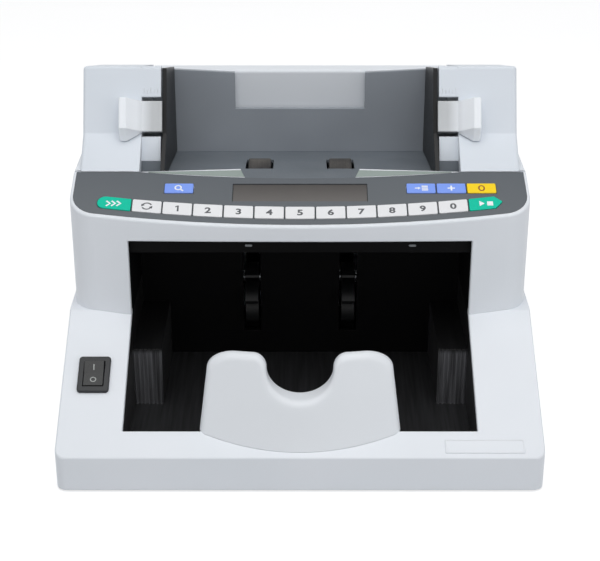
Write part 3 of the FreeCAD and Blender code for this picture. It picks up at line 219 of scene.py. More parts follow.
class Effects:
    """Shared shader groups, each built once."""

    CELL_SHARE = 0.6
    EDGE_SAMPLES = 6
    EDGE_TURN = (1.0, 0.8)
    UPWARD = (0.2, 0.95)
    CLOUD_SCALE = 60.0
    CLOUD = (0.42, 0.72)
    CLOUD_COVER = (0.1, 1.0)
    LINE_STRETCH = (1.0, 0.02, 0.02)

    @staticmethod
    def start(name: str, inputs: Sequence[str], outputs: Sequence[str]) -> tuple[Tree, object, object]:
        """Opens a new group, in which an output named Normal is a vector and any other a number.

        Args:
            name: the group's name.
            inputs: names of its number inputs.
            outputs: names of its outputs.
        Returns:
            The tree, what is given to it and what it puts out.
        """
        group = bpy.data.node_groups.new(name, "ShaderNodeTree")
        for label in inputs:
            group.interface.new_socket(label, in_out="INPUT", socket_type="NodeSocketFloat")
        for label in outputs:
            kind = "NodeSocketVector" if label == "Normal" else "NodeSocketFloat"
            group.interface.new_socket(label, in_out="OUTPUT", socket_type=kind)
        tree = Tree(group)
        return tree, tree.add("NodeGroupInput").outputs, tree.add("NodeGroupOutput").inputs

    @classmethod
    @cache
    def mould_grain(cls) -> bpy.types.NodeTree:
        """Pebbled skin of a mould: fine noise and cells, with slow patches.

        Returns:
            The group, with Height, Patch and Speck outputs.
        """
        tree, given, out = cls.start("mould_grain", ("Grain", "Patch Size"), ("Height", "Patch", "Speck"))
        place = tree.place()
        fine = tree.noise(place, given["Grain"])
        cells = tree.cells(place, given["Grain"], feature="SMOOTH_F1")
        slow = tree.noise(place, given["Patch Size"], detail=2.0)
        tree.feed(out["Height"], tree.maths("MULTIPLY_ADD", cells, cls.CELL_SHARE, fine))
        tree.feed(out["Patch"], tree.spread(slow, *NOISE_WIDE))
        tree.feed(out["Speck"], tree.spread(fine, *NOISE_NARROW))
        return tree.tree

    @classmethod
    @cache
    def soft_edge(cls) -> bpy.types.NodeTree:
        """Broken sharp edges: a normal that turns over a small radius, and a mask of the edge itself.

        Returns:
            The group, with Normal and Edge outputs.
        """
        tree, given, out = cls.start("soft_edge", ("Radius",), ("Normal", "Edge"))
        turned = tree.joined(tree.add("Bevel", samples=cls.EDGE_SAMPLES), {"Radius": given["Radius"]})
        flat = tree.add("NewGeometry").outputs["Normal"]
        alike = tree.joined(tree.add("VectorMath", operation="DOT_PRODUCT"), {0: turned, 1: flat}, "Value")
        tree.feed(out["Normal"], turned)
        tree.feed(out["Edge"], tree.spread(alike, *cls.EDGE_TURN))
        return tree.tree

    @classmethod
    @cache
    def settled_dust(cls) -> bpy.types.NodeTree:
        """Thin dust on faces that look up.

        Returns:
            The group, with a Dust output.
        """
        tree, given, out = cls.start("settled_dust", ("Amount",), ("Dust",))
        upward = tree.spread(tree.facing("Z"), *cls.UPWARD)
        cloud = tree.noise(tree.place(), cls.CLOUD_SCALE, detail=5.0, rough=0.65)
        dust = tree.maths("MULTIPLY", upward, tree.spread(cloud, *cls.CLOUD, *cls.CLOUD_COVER))
        tree.feed(out["Dust"], tree.maths("MULTIPLY", dust, given["Amount"]))
        return tree.tree

    @classmethod
    @cache
    def brushed(cls) -> bpy.types.NodeTree:
        """Fine lines left by turning or rolling, stretched along Y and Z.

        Returns:
            The group, with Height and Streak outputs.
        """
        tree, given, out = cls.start("brushed", ("Lines",), ("Height", "Streak"))
        place = tree.stretched(tree.place(), cls.LINE_STRETCH)
        lines = tree.noise(place, given["Lines"], detail=4.0, rough=0.7)
        tree.feed(out["Height"], lines)
        tree.feed(out["Streak"], tree.spread(lines, *NOISE_NARROW))
        return tree.tree


class Shader(Tree):
    """One material with its principled shader and the shared groups placed in it."""

    def __init__(self, name: str) -> None:
        """Starts a new material.

        Args:
            name: the material's name.
        """
        self.material = bpy.data.materials.new(name)
        self.material.use_nodes = True
        super().__init__(self.material.node_tree)
        self.main = self.tree.nodes["Principled BSDF"]

    def group(self, group: bpy.types.NodeTree, **values: float) -> object:
        """Places a shared group.

        Args:
            group: the group.
            values: its inputs, named with _ for a space.
        Returns:
            Its outputs.
        """
        node = self.add("Group", node_tree=group)
        for name, value in values.items():
            node.inputs[name.replace("_", " ")].default_value = value
        return node.outputs

    def put(self, **values: object) -> None:
        """Sets or links inputs of the principled shader, named with _ for a space."""
        for name, value in values.items():
            self.feed(self.main.inputs[name.replace("_", " ")], value)

    def bump(self, height: object, depth: float, strength: float, normal: object = None) -> Socket:
        """Adds a bump of a height.

        Args:
            height: the height socket.
            depth: height of the bump in metres.
            strength: share of the bump that shows.
            normal: normal that the bump stands on.
        Returns:
            The bumped normal.
        """
        values = {"Distance": depth, "Strength": strength, "Height": height}
        if normal is not None:
            values["Normal"] = normal
        return self.joined(self.add("Bump"), values, "Normal")


@dataclass(frozen=True)
class Finish:
    """A finish that runs between two colours."""

    tone: Tone

    def material(self, name: str) -> bpy.types.Material:
        """Builds the material.

        Args:
            name: the material's name.
        Returns:
            The material.
        """
        shader = Shader(name)
        self.fill(shader)
        return shader.material

    def fill(self, shader: Shader) -> None:
        """Adds the finish's own nodes to a new material's shader."""
        raise NotImplementedError


@dataclass(frozen=True)
class MouldedPlastic(Finish):
    """Injection-moulded plastic with a pebbled skin, softened edges that may carry a painted highlight, and a
    little dust.
    """

    roughness: float = 0.45
    unevenness: tuple[float, float] = (-0.05, 0.06)
    grain: float = 2600.0
    depth: float = 0.00003
    strength: float = 0.35
    patch: float = 14.0
    edge: float = 0.0005
    edge_lift: float = 0.0
    dust: float = 0.0
    gloss: float = 0.5
    coat: float = 0.0
    coat_roughness: float = 0.2

    def fill(self, shader: Shader) -> None:
        """Adds the finish's nodes.

        Args:
            shader: the new material's shader.
        """
        skin = shader.group(Effects.mould_grain(), Grain=self.grain, Patch_Size=self.patch)
        edge = shader.group(Effects.soft_edge(), Radius=self.edge)
        colour = shader.toned(skin["Patch"], self.tone)
        # Painted highlight: the edges are mixed towards white.
        if self.edge_lift:
            colour = shader.blend(shader.maths("MULTIPLY", edge["Edge"], self.edge_lift), colour, WHITE)
        if self.dust:
            dust = shader.group(Effects.settled_dust(), Amount=self.dust)
            colour = shader.blend(dust["Dust"], colour, DUST)
        rough = shader.between(skin["Speck"], *(self.roughness + change for change in self.unevenness))
        normal = shader.bump(skin["Height"], self.depth, self.strength, edge["Normal"])
        shader.put(Base_Color=colour, Roughness=rough, Normal=normal, Specular_IOR_Level=self.gloss,
                   Coat_Weight=self.coat, Coat_Roughness=self.coat_roughness)


@dataclass(frozen=True)
class HandledPlastic(Finish):
    """Smooth pale plastic of the sliders, greyed by painted shade towards the hopper's middle, where the
    slider bodies lie in shade.
    """

    clean_x: float = 0.097
    soiled_x: float = 0.088
    smear: tuple[float, float] = (0.75, 1.0)
    roughness: tuple[float, float] = (0.26, 0.36)
    grain: float = 3000.0
    depth: float = 0.00001
    strength: float = 0.35
    patch: float = 30.0
    edge: float = 0.0007
    gloss: float = 0.4

    def fill(self, shader: Shader) -> None:
        """Adds the finish's nodes.

        Args:
            shader: the new material's shader.
        """
        skin = shader.group(Effects.mould_grain(), Grain=self.grain, Patch_Size=self.patch)
        edge = shader.group(Effects.soft_edge(), Radius=self.edge)
        across = shader.maths("ABSOLUTE", shader.part(shader.place(), "X"))
        near = shader.spread(across, self.clean_x, self.soiled_x)
        share = shader.maths("MULTIPLY", near, shader.between(skin["Patch"], *self.smear))
        # Painted shade: the sliders turn grey towards the hopper's middle.
        colour = shader.blend(share, shader.toned(skin["Patch"], self.tone), SLIDER_SHADE)
        rough = shader.between(skin["Speck"], *self.roughness)
        normal = shader.bump(skin["Height"], self.depth, self.strength, edge["Normal"])
        shader.put(Base_Color=colour, Roughness=rough, Normal=normal, Specular_IOR_Level=self.gloss)


@dataclass(frozen=True)
class RubbedLining(Finish):
    """Black lining with grey streaks on its lower parts: faint on the floor, from rubbing, and ten times
    stronger on the steps' fronts, where the grey is mostly painted light on the faces that look to the front.
    """

    rubbed_z: float = 0.045
    clean_z: float = 0.0478
    streaks: float = 420.0
    streak_stretch: tuple[float, float, float] = (1.0, 0.04, 0.03)
    streak_cover: tuple[float, float] = (0.15, 1.0)
    frontward: tuple[float, float] = (-0.4, -0.8)
    floor_wear: float = 0.14
    front_wear: float = 1.4
    roughness: tuple[float, float] = (0.5, 0.34)
    grain: float = 1800.0
    depth: float = 0.00003
    strength: float = 0.3
    patch: float = 25.0
    edge: float = 0.0005
    gloss: float = 0.4

    def fill(self, shader: Shader) -> None:
        """Adds the finish's nodes.

        Args:
            shader: the new material's shader.
        """
        skin = shader.group(Effects.mould_grain(), Grain=self.grain, Patch_Size=self.patch)
        edge = shader.group(Effects.soft_edge(), Radius=self.edge)
        place = shader.place()
        # Painted light: faces that look to the front take ten times the floor's streaked grey, as if lit by
        # the lamps.
        wear_and_front_light = shader.spread(shader.facing("Y"), *self.frontward, self.floor_wear, self.front_wear)
        # The grey fades out above a height, so higher faces stay black.
        low = shader.spread(shader.part(place, "Z"), self.clean_z, self.rubbed_z)
        fine = shader.noise(shader.stretched(place, self.streak_stretch), self.streaks, rough=0.6)
        streak = shader.spread(fine, *NOISE_WIDE, *self.streak_cover)
        share = shader.maths("MULTIPLY", low, shader.maths("MULTIPLY", streak, wear_and_front_light))
        normal = shader.bump(skin["Height"], self.depth, self.strength, edge["Normal"])
        rough = shader.between(streak, *self.roughness)
        shader.put(Base_Color=shader.toned(share, self.tone), Roughness=rough, Normal=normal,
                   Specular_IOR_Level=self.gloss)


@dataclass(frozen=True)
class PrintedFilm(Finish):
    """Printed film over the key panel: fine pebble, a slow change of tone and a satin sheen."""

    light_y: float = -0.04
    dark_y: float = 0.006
    patch_share: float = 0.35
    roughness: tuple[float, float] = (0.37, 0.49)
    grain: float = 3600.0
    depth: float = 0.00002
    strength: float = 0.3
    patch: float = 9.0
    gloss: float = 0.25

    def fill(self, shader: Shader) -> None:
        """Adds the finish's nodes.

        Args:
            shader: the new material's shader.
        """
        skin = shader.group(Effects.mould_grain(), Grain=self.grain, Patch_Size=self.patch)
        fall = shader.spread(shader.part(shader.place(), "Y"), self.light_y, self.dark_y, 1.0, 0.0)
        colour = shader.toned(shader.weighted(skin["Patch"], self.patch_share, fall), self.tone)
        rough = shader.between(skin["Speck"], *self.roughness)
        normal = shader.bump(skin["Height"], self.depth, self.strength)
        shader.put(Base_Color=colour, Roughness=rough, Normal=normal, Specular_IOR_Level=self.gloss)


@dataclass(frozen=True)
class SmokedWindow(Finish):
    """Smoked display window, darkened towards its top by painted shade, with a hard clear face."""

    light_y: float = -0.0182
    dark_y: float = -0.0043
    haze: float = 90.0
    haze_share: float = 0.15
    roughness: tuple[float, float] = (0.1, 0.18)
    coat: float = 0.2
    coat_roughness: float = 0.1
    gloss: float = 0.3

    def fill(self, shader: Shader) -> None:
        """Adds the finish's nodes.

        Args:
            shader: the new material's shader.
        """
        # Painted shade: the window darkens towards its top.
        fall = shader.spread(shader.part(shader.place(), "Y"), self.light_y, self.dark_y, 1.0, 0.0)
        haze = shader.noise(shader.place(), self.haze)
        colour = shader.toned(shader.weighted(haze, self.haze_share, fall), self.tone)
        rough = shader.spread(haze, *NOISE_WIDE, *self.roughness)
        shader.put(Base_Color=colour, Roughness=rough, Coat_Weight=self.coat,
                   Coat_Roughness=self.coat_roughness, Specular_IOR_Level=self.gloss)


@dataclass(frozen=True)
class Rubber(Finish):
    """Ground rubber: matt, speckled, with fine lines round the roller."""

    lines: float = 900.0
    line_share: float = 1.5
    dust: float = 0.18
    roughness: tuple[float, float] = (0.68, 0.85)
    grain: float = 1800.0
    depth: float = 0.00004
    strength: float = 0.5
    patch: float = 40.0
    gloss: float = 0.3

    def fill(self, shader: Shader) -> None:
        """Adds the finish's nodes.

        Args:
            shader: the new material's shader.
        """
        skin = shader.group(Effects.mould_grain(), Grain=self.grain, Patch_Size=self.patch)
        turned = shader.group(Effects.brushed(), Lines=self.lines)
        dust = shader.group(Effects.settled_dust(), Amount=self.dust)
        colour = shader.blend(dust["Dust"], shader.toned(turned["Streak"], self.tone), DUST)
        height = shader.maths("MULTIPLY_ADD", turned["Height"], self.line_share, skin["Height"])
        shader.put(Base_Color=colour, Roughness=shader.between(skin["Speck"], *self.roughness),
                   Normal=shader.bump(height, self.depth, self.strength), Specular_IOR_Level=self.gloss)


@dataclass(frozen=True)
class Metal(Finish):
    """Bare or plated metal with turning lines and a slow stain."""

    roughness: float = 0.28
    unevenness: tuple[float, float] = (0.08, -0.06)
    lines: float = 1400.0
    spangle: float = 0.0
    spangle_share: float = 0.75
    depth: float = 0.000008
    strength: float = 0.4
    edge: float = 0.0002

    def fill(self, shader: Shader) -> None:
        """Adds the finish's nodes.

        Args:
            shader: the new material's shader.
        """
        turned = shader.group(Effects.brushed(), Lines=self.lines)
        edge = shader.group(Effects.soft_edge(), Radius=self.edge)
        share = turned["Streak"]
        if self.spangle:
            cells = shader.cells(shader.place(), self.spangle, "Color")
            flake = shader.joined(shader.add("SeparateColor"), {0: cells})
            share = shader.weighted(flake, self.spangle_share, share)
        rough = shader.between(share, *(self.roughness + change for change in self.unevenness))
        normal = shader.bump(turned["Height"], self.depth, self.strength, edge["Normal"])
        shader.put(Base_Color=shader.toned(share, self.tone), Roughness=rough, Metallic=1.0, Normal=normal)


@dataclass(frozen=True)
class CircuitBoard(Finish):
    """Green board with copper tracks under the lacquer."""

    pitch: float = 260.0
    track: tuple[float, float] = (0.05, 0.09)
    grain: float = 700.0
    roughness: tuple[float, float] = (0.3, 0.42)
    depth: float = 0.00004
    strength: float = 0.6
    coat: float = 0.3
    coat_roughness: float = 0.15

    def fill(self, shader: Shader) -> None:
        """Adds the finish's nodes.

        Args:
            shader: the new material's shader.
        """
        place = shader.place()
        cells = shader.cells(place, self.pitch, distance="MANHATTAN", feature="DISTANCE_TO_EDGE")
        tracks = shader.spread(cells, *self.track, 1.0, 0.0)
        rough = shader.spread(shader.noise(place, self.grain), *NOISE_WIDE, *self.roughness)
        shader.put(Base_Color=shader.toned(tracks, self.tone), Roughness=rough,
                   Normal=shader.bump(tracks, self.depth, self.strength), Coat_Weight=self.coat,
                   Coat_Roughness=self.coat_roughness)


@dataclass(frozen=True)
class Ink(Finish):
    """Screen print: a thin matt coat, a little uneven in its cover."""

    grain: float = 2400.0
    roughness: tuple[float, float] = (0.48, 0.6)
    depth: float = 0.000006
    strength: float = 0.3

    def fill(self, shader: Shader) -> None:
        """Adds the finish's nodes.

        Args:
            shader: the new material's shader.
        """
        cover = shader.noise(shader.place(), self.grain, detail=4.0, rough=0.6)
        colour = shader.toned(shader.spread(cover, *NOISE_NARROW), self.tone)
        shader.put(Base_Color=colour, Roughness=shader.spread(cover, *NOISE_WIDE, *self.roughness),
                   Normal=shader.bump(cover, self.depth, self.strength))


# The case's edges carry a painted highlight.
CASE_SKIN: dict[str, float] = {"edge": 0.0007, "edge_lift": 0.25, "gloss": 0.35}
KEY_SKIN: dict[str, float] = {"grain": 4200.0, "depth": 0.00001, "edge": 0.0002, "gloss": 0.2}
SWITCH_SKIN: dict[str, float] = {"grain": 3000.0, "depth": 0.00001, "edge": 0.0003}

FINISHES: dict[str, Finish] = {
    "case_plastic": MouldedPlastic(Tone.CASE, **CASE_SKIN),
    # Hopper blocks: case plastic in a darker tone, as painted shade.
    "block_plastic_shaded": MouldedPlastic(Tone.BLOCK, **CASE_SKIN),
    "stop_plastic": MouldedPlastic(Tone.STOP, roughness=0.36, depth=0.00001, gloss=0.35),
    "slider_plastic": HandledPlastic(Tone.SLIDER),
    "panel_print": PrintedFilm(Tone.FILM),
    "window_smoke": SmokedWindow(Tone.WINDOW),
    # The ramps' darker grey is partly painted shade.
    "lip_shaded_grey": MouldedPlastic(Tone.LIP, edge=0.0004, gloss=0.3),
    "key_white": MouldedPlastic(Tone.KEY_WHITE, **KEY_SKIN),
    "key_green": MouldedPlastic(Tone.KEY_GREEN, **KEY_SKIN),
    "key_blue": MouldedPlastic(Tone.KEY_BLUE, **KEY_SKIN),
    "key_yellow": MouldedPlastic(Tone.KEY_YELLOW, **KEY_SKIN),
    "pocket_black": RubbedLining(Tone.POCKET),
    "hood_black": MouldedPlastic(Tone.HOOD, roughness=0.6, grain=1800.0, gloss=0.08),
    "sensor_lens": MouldedPlastic(Tone.LENS, roughness=0.15, grain=5000.0, depth=0.000004, coat=0.5),
    "guide_black": MouldedPlastic(Tone.GUIDE, roughness=0.4, grain=2200.0, gloss=0.25),
    "hopper_dark": MouldedPlastic(Tone.HOPPER, roughness=0.5, grain=2000.0, dust=0.05, gloss=0.3),
    "plate_grey": MouldedPlastic(Tone.PLATE, grain=2000.0, gloss=0.35),
    "rocker_black": MouldedPlastic(Tone.ROCKER, roughness=0.3, gloss=0.35, **SWITCH_SKIN),
    "switch_black": MouldedPlastic(Tone.SWITCH, roughness=0.34, gloss=0.3, **SWITCH_SKIN),
    "roller_rubber": Rubber(Tone.RUBBER),
    "shaft_steel": Metal(Tone.STEEL, roughness=0.22),
    "frame_steel": Metal(Tone.ZINC, roughness=0.38, lines=500.0, spangle=160.0),
    "plate_paint": MouldedPlastic(Tone.PAINT, roughness=0.6, grain=900.0, depth=0.00008),
    "bush_brass": Metal(Tone.BRONZE, roughness=0.36, lines=2600.0),
    "pulley_plastic": MouldedPlastic(Tone.PULLEY, roughness=0.5),
    "board_green": CircuitBoard(Tone.BOARD),
    "ink_grey": Ink(Tone.INK_GREY),
    "ink_white": Ink(Tone.INK_WHITE),
    "ink_pale": Ink(Tone.INK_PALE),
    "ink_brown": Ink(Tone.INK_BROWN),
}


@cache
def finish(name: str) -> bpy.types.Material:
    """The material of a finish, built when first asked for."""
    return FINISHES[name].material(name)


def place_piece(name: str, mesh: bpy.types.Mesh, body: str, look: str) -> bpy.types.Object:
    """Links a finished mesh as a piece that rides on a body.

    Args:
        name: the piece's name.
        mesh: the mesh, with its place in its vertices.
        body: the body that it moves with.
        look: the finish.
    Returns:
        The piece.
    """
    mesh.materials.clear()
    mesh.materials.append(finish(look))
    piece = bpy.data.objects.new(name, mesh)
    bpy.context.scene.collection.objects.link(piece)
    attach(piece, body)
    log.info("placed %s on %s", name, body)
    return piece


def mesh_points(mesh: bpy.types.Mesh) -> np.ndarray:
    """Vertices of a mesh.

    Args:
        mesh: the mesh.
    Returns:
        An array (n, 3) in the mesh's own units.
    """
    points = np.zeros(len(mesh.vertices) * 3)
    mesh.vertices.foreach_get("co", points)
    return points.reshape(-1, 3)


def node_points(node: str) -> np.ndarray:
    """Vertices of a carried-over solid, as an array (n, 3) in metres."""
    return mesh_points(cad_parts[node].data)


def apply_place(points: np.ndarray, place: Matrix) -> np.ndarray:
    """Points carried by a placement: p' = R p + t over the last axis."""
    frame_of = np.array(place, float)
    return points @ frame_of[:3, :3].T + frame_of[:3, 3]


def tilt(angle: float) -> Matrix:
    """Turn about X by an angle in radians."""
    return Matrix.Rotation(angle, 4, "X")


class Surface:
    """Points and faces that are gathered into one mesh."""

    def __init__(self) -> None:
        """Starts empty."""
        self.points: list[np.ndarray] = []
        self.faces: list[list[int]] = []
        self.count = 0

    def grid(self, points: np.ndarray, around: bool, along: bool, caps: bool = False) -> None:
        """Adds a grid surface.

        Args:
            points: array (n, m, 3), n rings or rows of m points.
            around: the last point of a row joins its first.
            along: the last row joins the first.
            caps: the first and last rows are closed with a face.
        """
        rows, cols = points.shape[:2]
        index = np.arange(rows * cols).reshape(rows, cols) + self.count
        upper = np.roll(index, -1, axis=0) if along else index[1:]
        lower = index if along else index[:-1]
        if around:
            quads = np.stack([lower, np.roll(lower, -1, axis=1), np.roll(upper, -1, axis=1), upper], axis=-1)
        else:
            quads = np.stack([lower[:, :-1], lower[:, 1:], upper[:, 1:], upper[:, :-1]], axis=-1)
        self.faces += quads.reshape(-1, 4).tolist()
        if caps:
            self.faces.append(index[0][::-1].tolist())
            self.faces.append(index[-1].tolist())
        self.points.append(points.reshape(-1, 3))
        self.count += rows * cols

    def stroke(self, path: np.ndarray, width: np.ndarray | float, low: float, high: float,
               closed: bool = False) -> None:
        """Adds a flat stroke: a rectangle carried along a path in the XY plane.

        At each path point p with unit normal n, the corners are p +- n width/2 at the heights low and high.

        Args:
            path: array (n, 2) of centre points.
            width: stroke width, one or one per point.
            low: height of the underside.
            high: height of the face.
            closed: the path joins its own start.
        """
        if closed:
            ahead = np.roll(path, -1, axis=0) - np.roll(path, 1, axis=0)
        else:
            ahead = np.gradient(path, axis=0)
        ahead /= np.linalg.norm(ahead, axis=1, keepdims=True)
        half = (np.broadcast_to(width, len(path)) / 2)[:, None]
        side = np.stack([-ahead[:, 1], ahead[:, 0]], axis=1) * half
        corners = np.zeros((len(path), 4, 3))
        corners[:, :2, :2] = (path + side)[:, None]
        corners[:, 2:, :2] = (path - side)[:, None]
        corners[:, (0, 3), 2] = low
        corners[:, (1, 2), 2] = high
        self.grid(corners, True, closed, caps=not closed)

    @classmethod
    def solid(cls, rings: np.ndarray) -> "Surface":
        """A closed solid, each ring joined to the next and the end rings closed.

        Args:
            rings: array (n, m, 3), n rings of m points.
        Returns:
            The solid.
        """
        surface = cls()
        surface.grid(rings, True, False, caps=True)
        return surface

    @classmethod
    def stacked(cls, outlines: Sequence[np.ndarray], heights: Sequence[float]) -> "Surface":
        """A closed solid of flat rings, one above the other.

        Args:
            outlines: arrays (m, 2), one for each ring.
            heights: height of each ring.
        Returns:
            The solid.
        """
        flat = np.stack(outlines)
        level = np.broadcast_to(np.asarray(heights)[:, None, None], (*flat.shape[:2], 1))
        return cls.solid(np.concatenate([flat, level], axis=-1))

    def mesh(self, name: str, place: Matrix | None = None, smooth: bool = False) -> bpy.types.Mesh:
        """Turns what was gathered into a mesh.

        Args:
            name: the mesh's name.
            place: placement of the points.
            smooth: the faces are shaded smooth.
        Returns:
            The mesh, with its place in its vertices.
        """
        points = np.concatenate(self.points)
        if place is not None:
            points = apply_place(points, place)
        mesh = bpy.data.meshes.new(name)
        mesh.from_pydata(points.tolist(), [], self.faces)
        mesh.polygons.foreach_set("use_smooth", np.full(len(mesh.polygons), smooth))
        if smooth:
            mesh.set_sharp_from_angle(angle=SHARP_ANGLE)
        mesh.update()
        return mesh

    def piece(self, name: str, place: Matrix, body: str, look: str, slot: str | None = None,
              smooth: bool = False) -> bpy.types.Object:
        """Turns what was gathered, in millimetres, into a piece.

        Args:
            name: the piece's name.
            place: its placement in metres.
            body: the body that it moves with.
            look: the finish.
            slot: not used.
            smooth: the faces are shaded smooth.
        Returns:
            The piece.
        """
        return place_piece(name, self.mesh(name, place @ IN_MM, smooth), body, look)


def rounded_outline(half_width: float, half_height: float, radius: float, steps: int = 8) -> np.ndarray:
    """Rounded rectangle: four quarter circles, counter-clockwise.

    Args:
        half_width: half its width.
        half_height: half its height.
        radius: radius of its corners.
        steps: points on each quarter circle.
    Returns:
        An array (n, 2).
    """
    turn = np.linspace(0.0, math.pi / 2, steps)
    angle = (turn[None, :] + (np.arange(4) * math.pi / 2)[:, None]).ravel()
    signs = np.array([(1, 1), (-1, 1), (-1, -1), (1, -1)], float).repeat(steps, axis=0)
    centre = signs * (half_width - radius, half_height - radius)
    return centre + radius * np.stack([np.cos(angle), np.sin(angle)], axis=1)


def circle(radius: float, centre: tuple[float, float] = (0.0, 0.0), start: float = 0.0, turn: float = 360.0,
           count: int = 40) -> np.ndarray:
    """Points on an arc, p = c + r (cos a, sin a), without the end point when the turn is full."""
    angle = np.radians(np.linspace(start, start + turn, count, endpoint=abs(turn) < 360.0))
    return np.array(centre) + radius * np.stack([np.cos(angle), np.sin(angle)], axis=1)


def line(*points: tuple[float, float]) -> np.ndarray:
    """A path through a few points."""
    return np.array(points, float)


class Assembly:
    """A sub-assembly, which dresses its carried-over solids and may add pieces."""

    looks: ClassVar[Looks] = {}

    def dress(self) -> None:
        """Gives each solid its finish."""
        for look, nodes in self.looks.items():
            for node in nodes:
                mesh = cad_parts[node].data
                mesh.materials.clear()
                mesh.materials.append(finish(look))
                log.info("dressed %s in %s", node, look)

    def build(self) -> None:
        """Adds nothing, where the sub-assembly has no pieces of its own."""


class Mark(Enum):
    """Signs that stand on the keys."""

    SPEED = "speed"
    TURNS = "turns"
    LENS = "lens"
    PILE = "pile"
    PLUS = "plus"
    ZERO = "zero"
    RUN = "run"


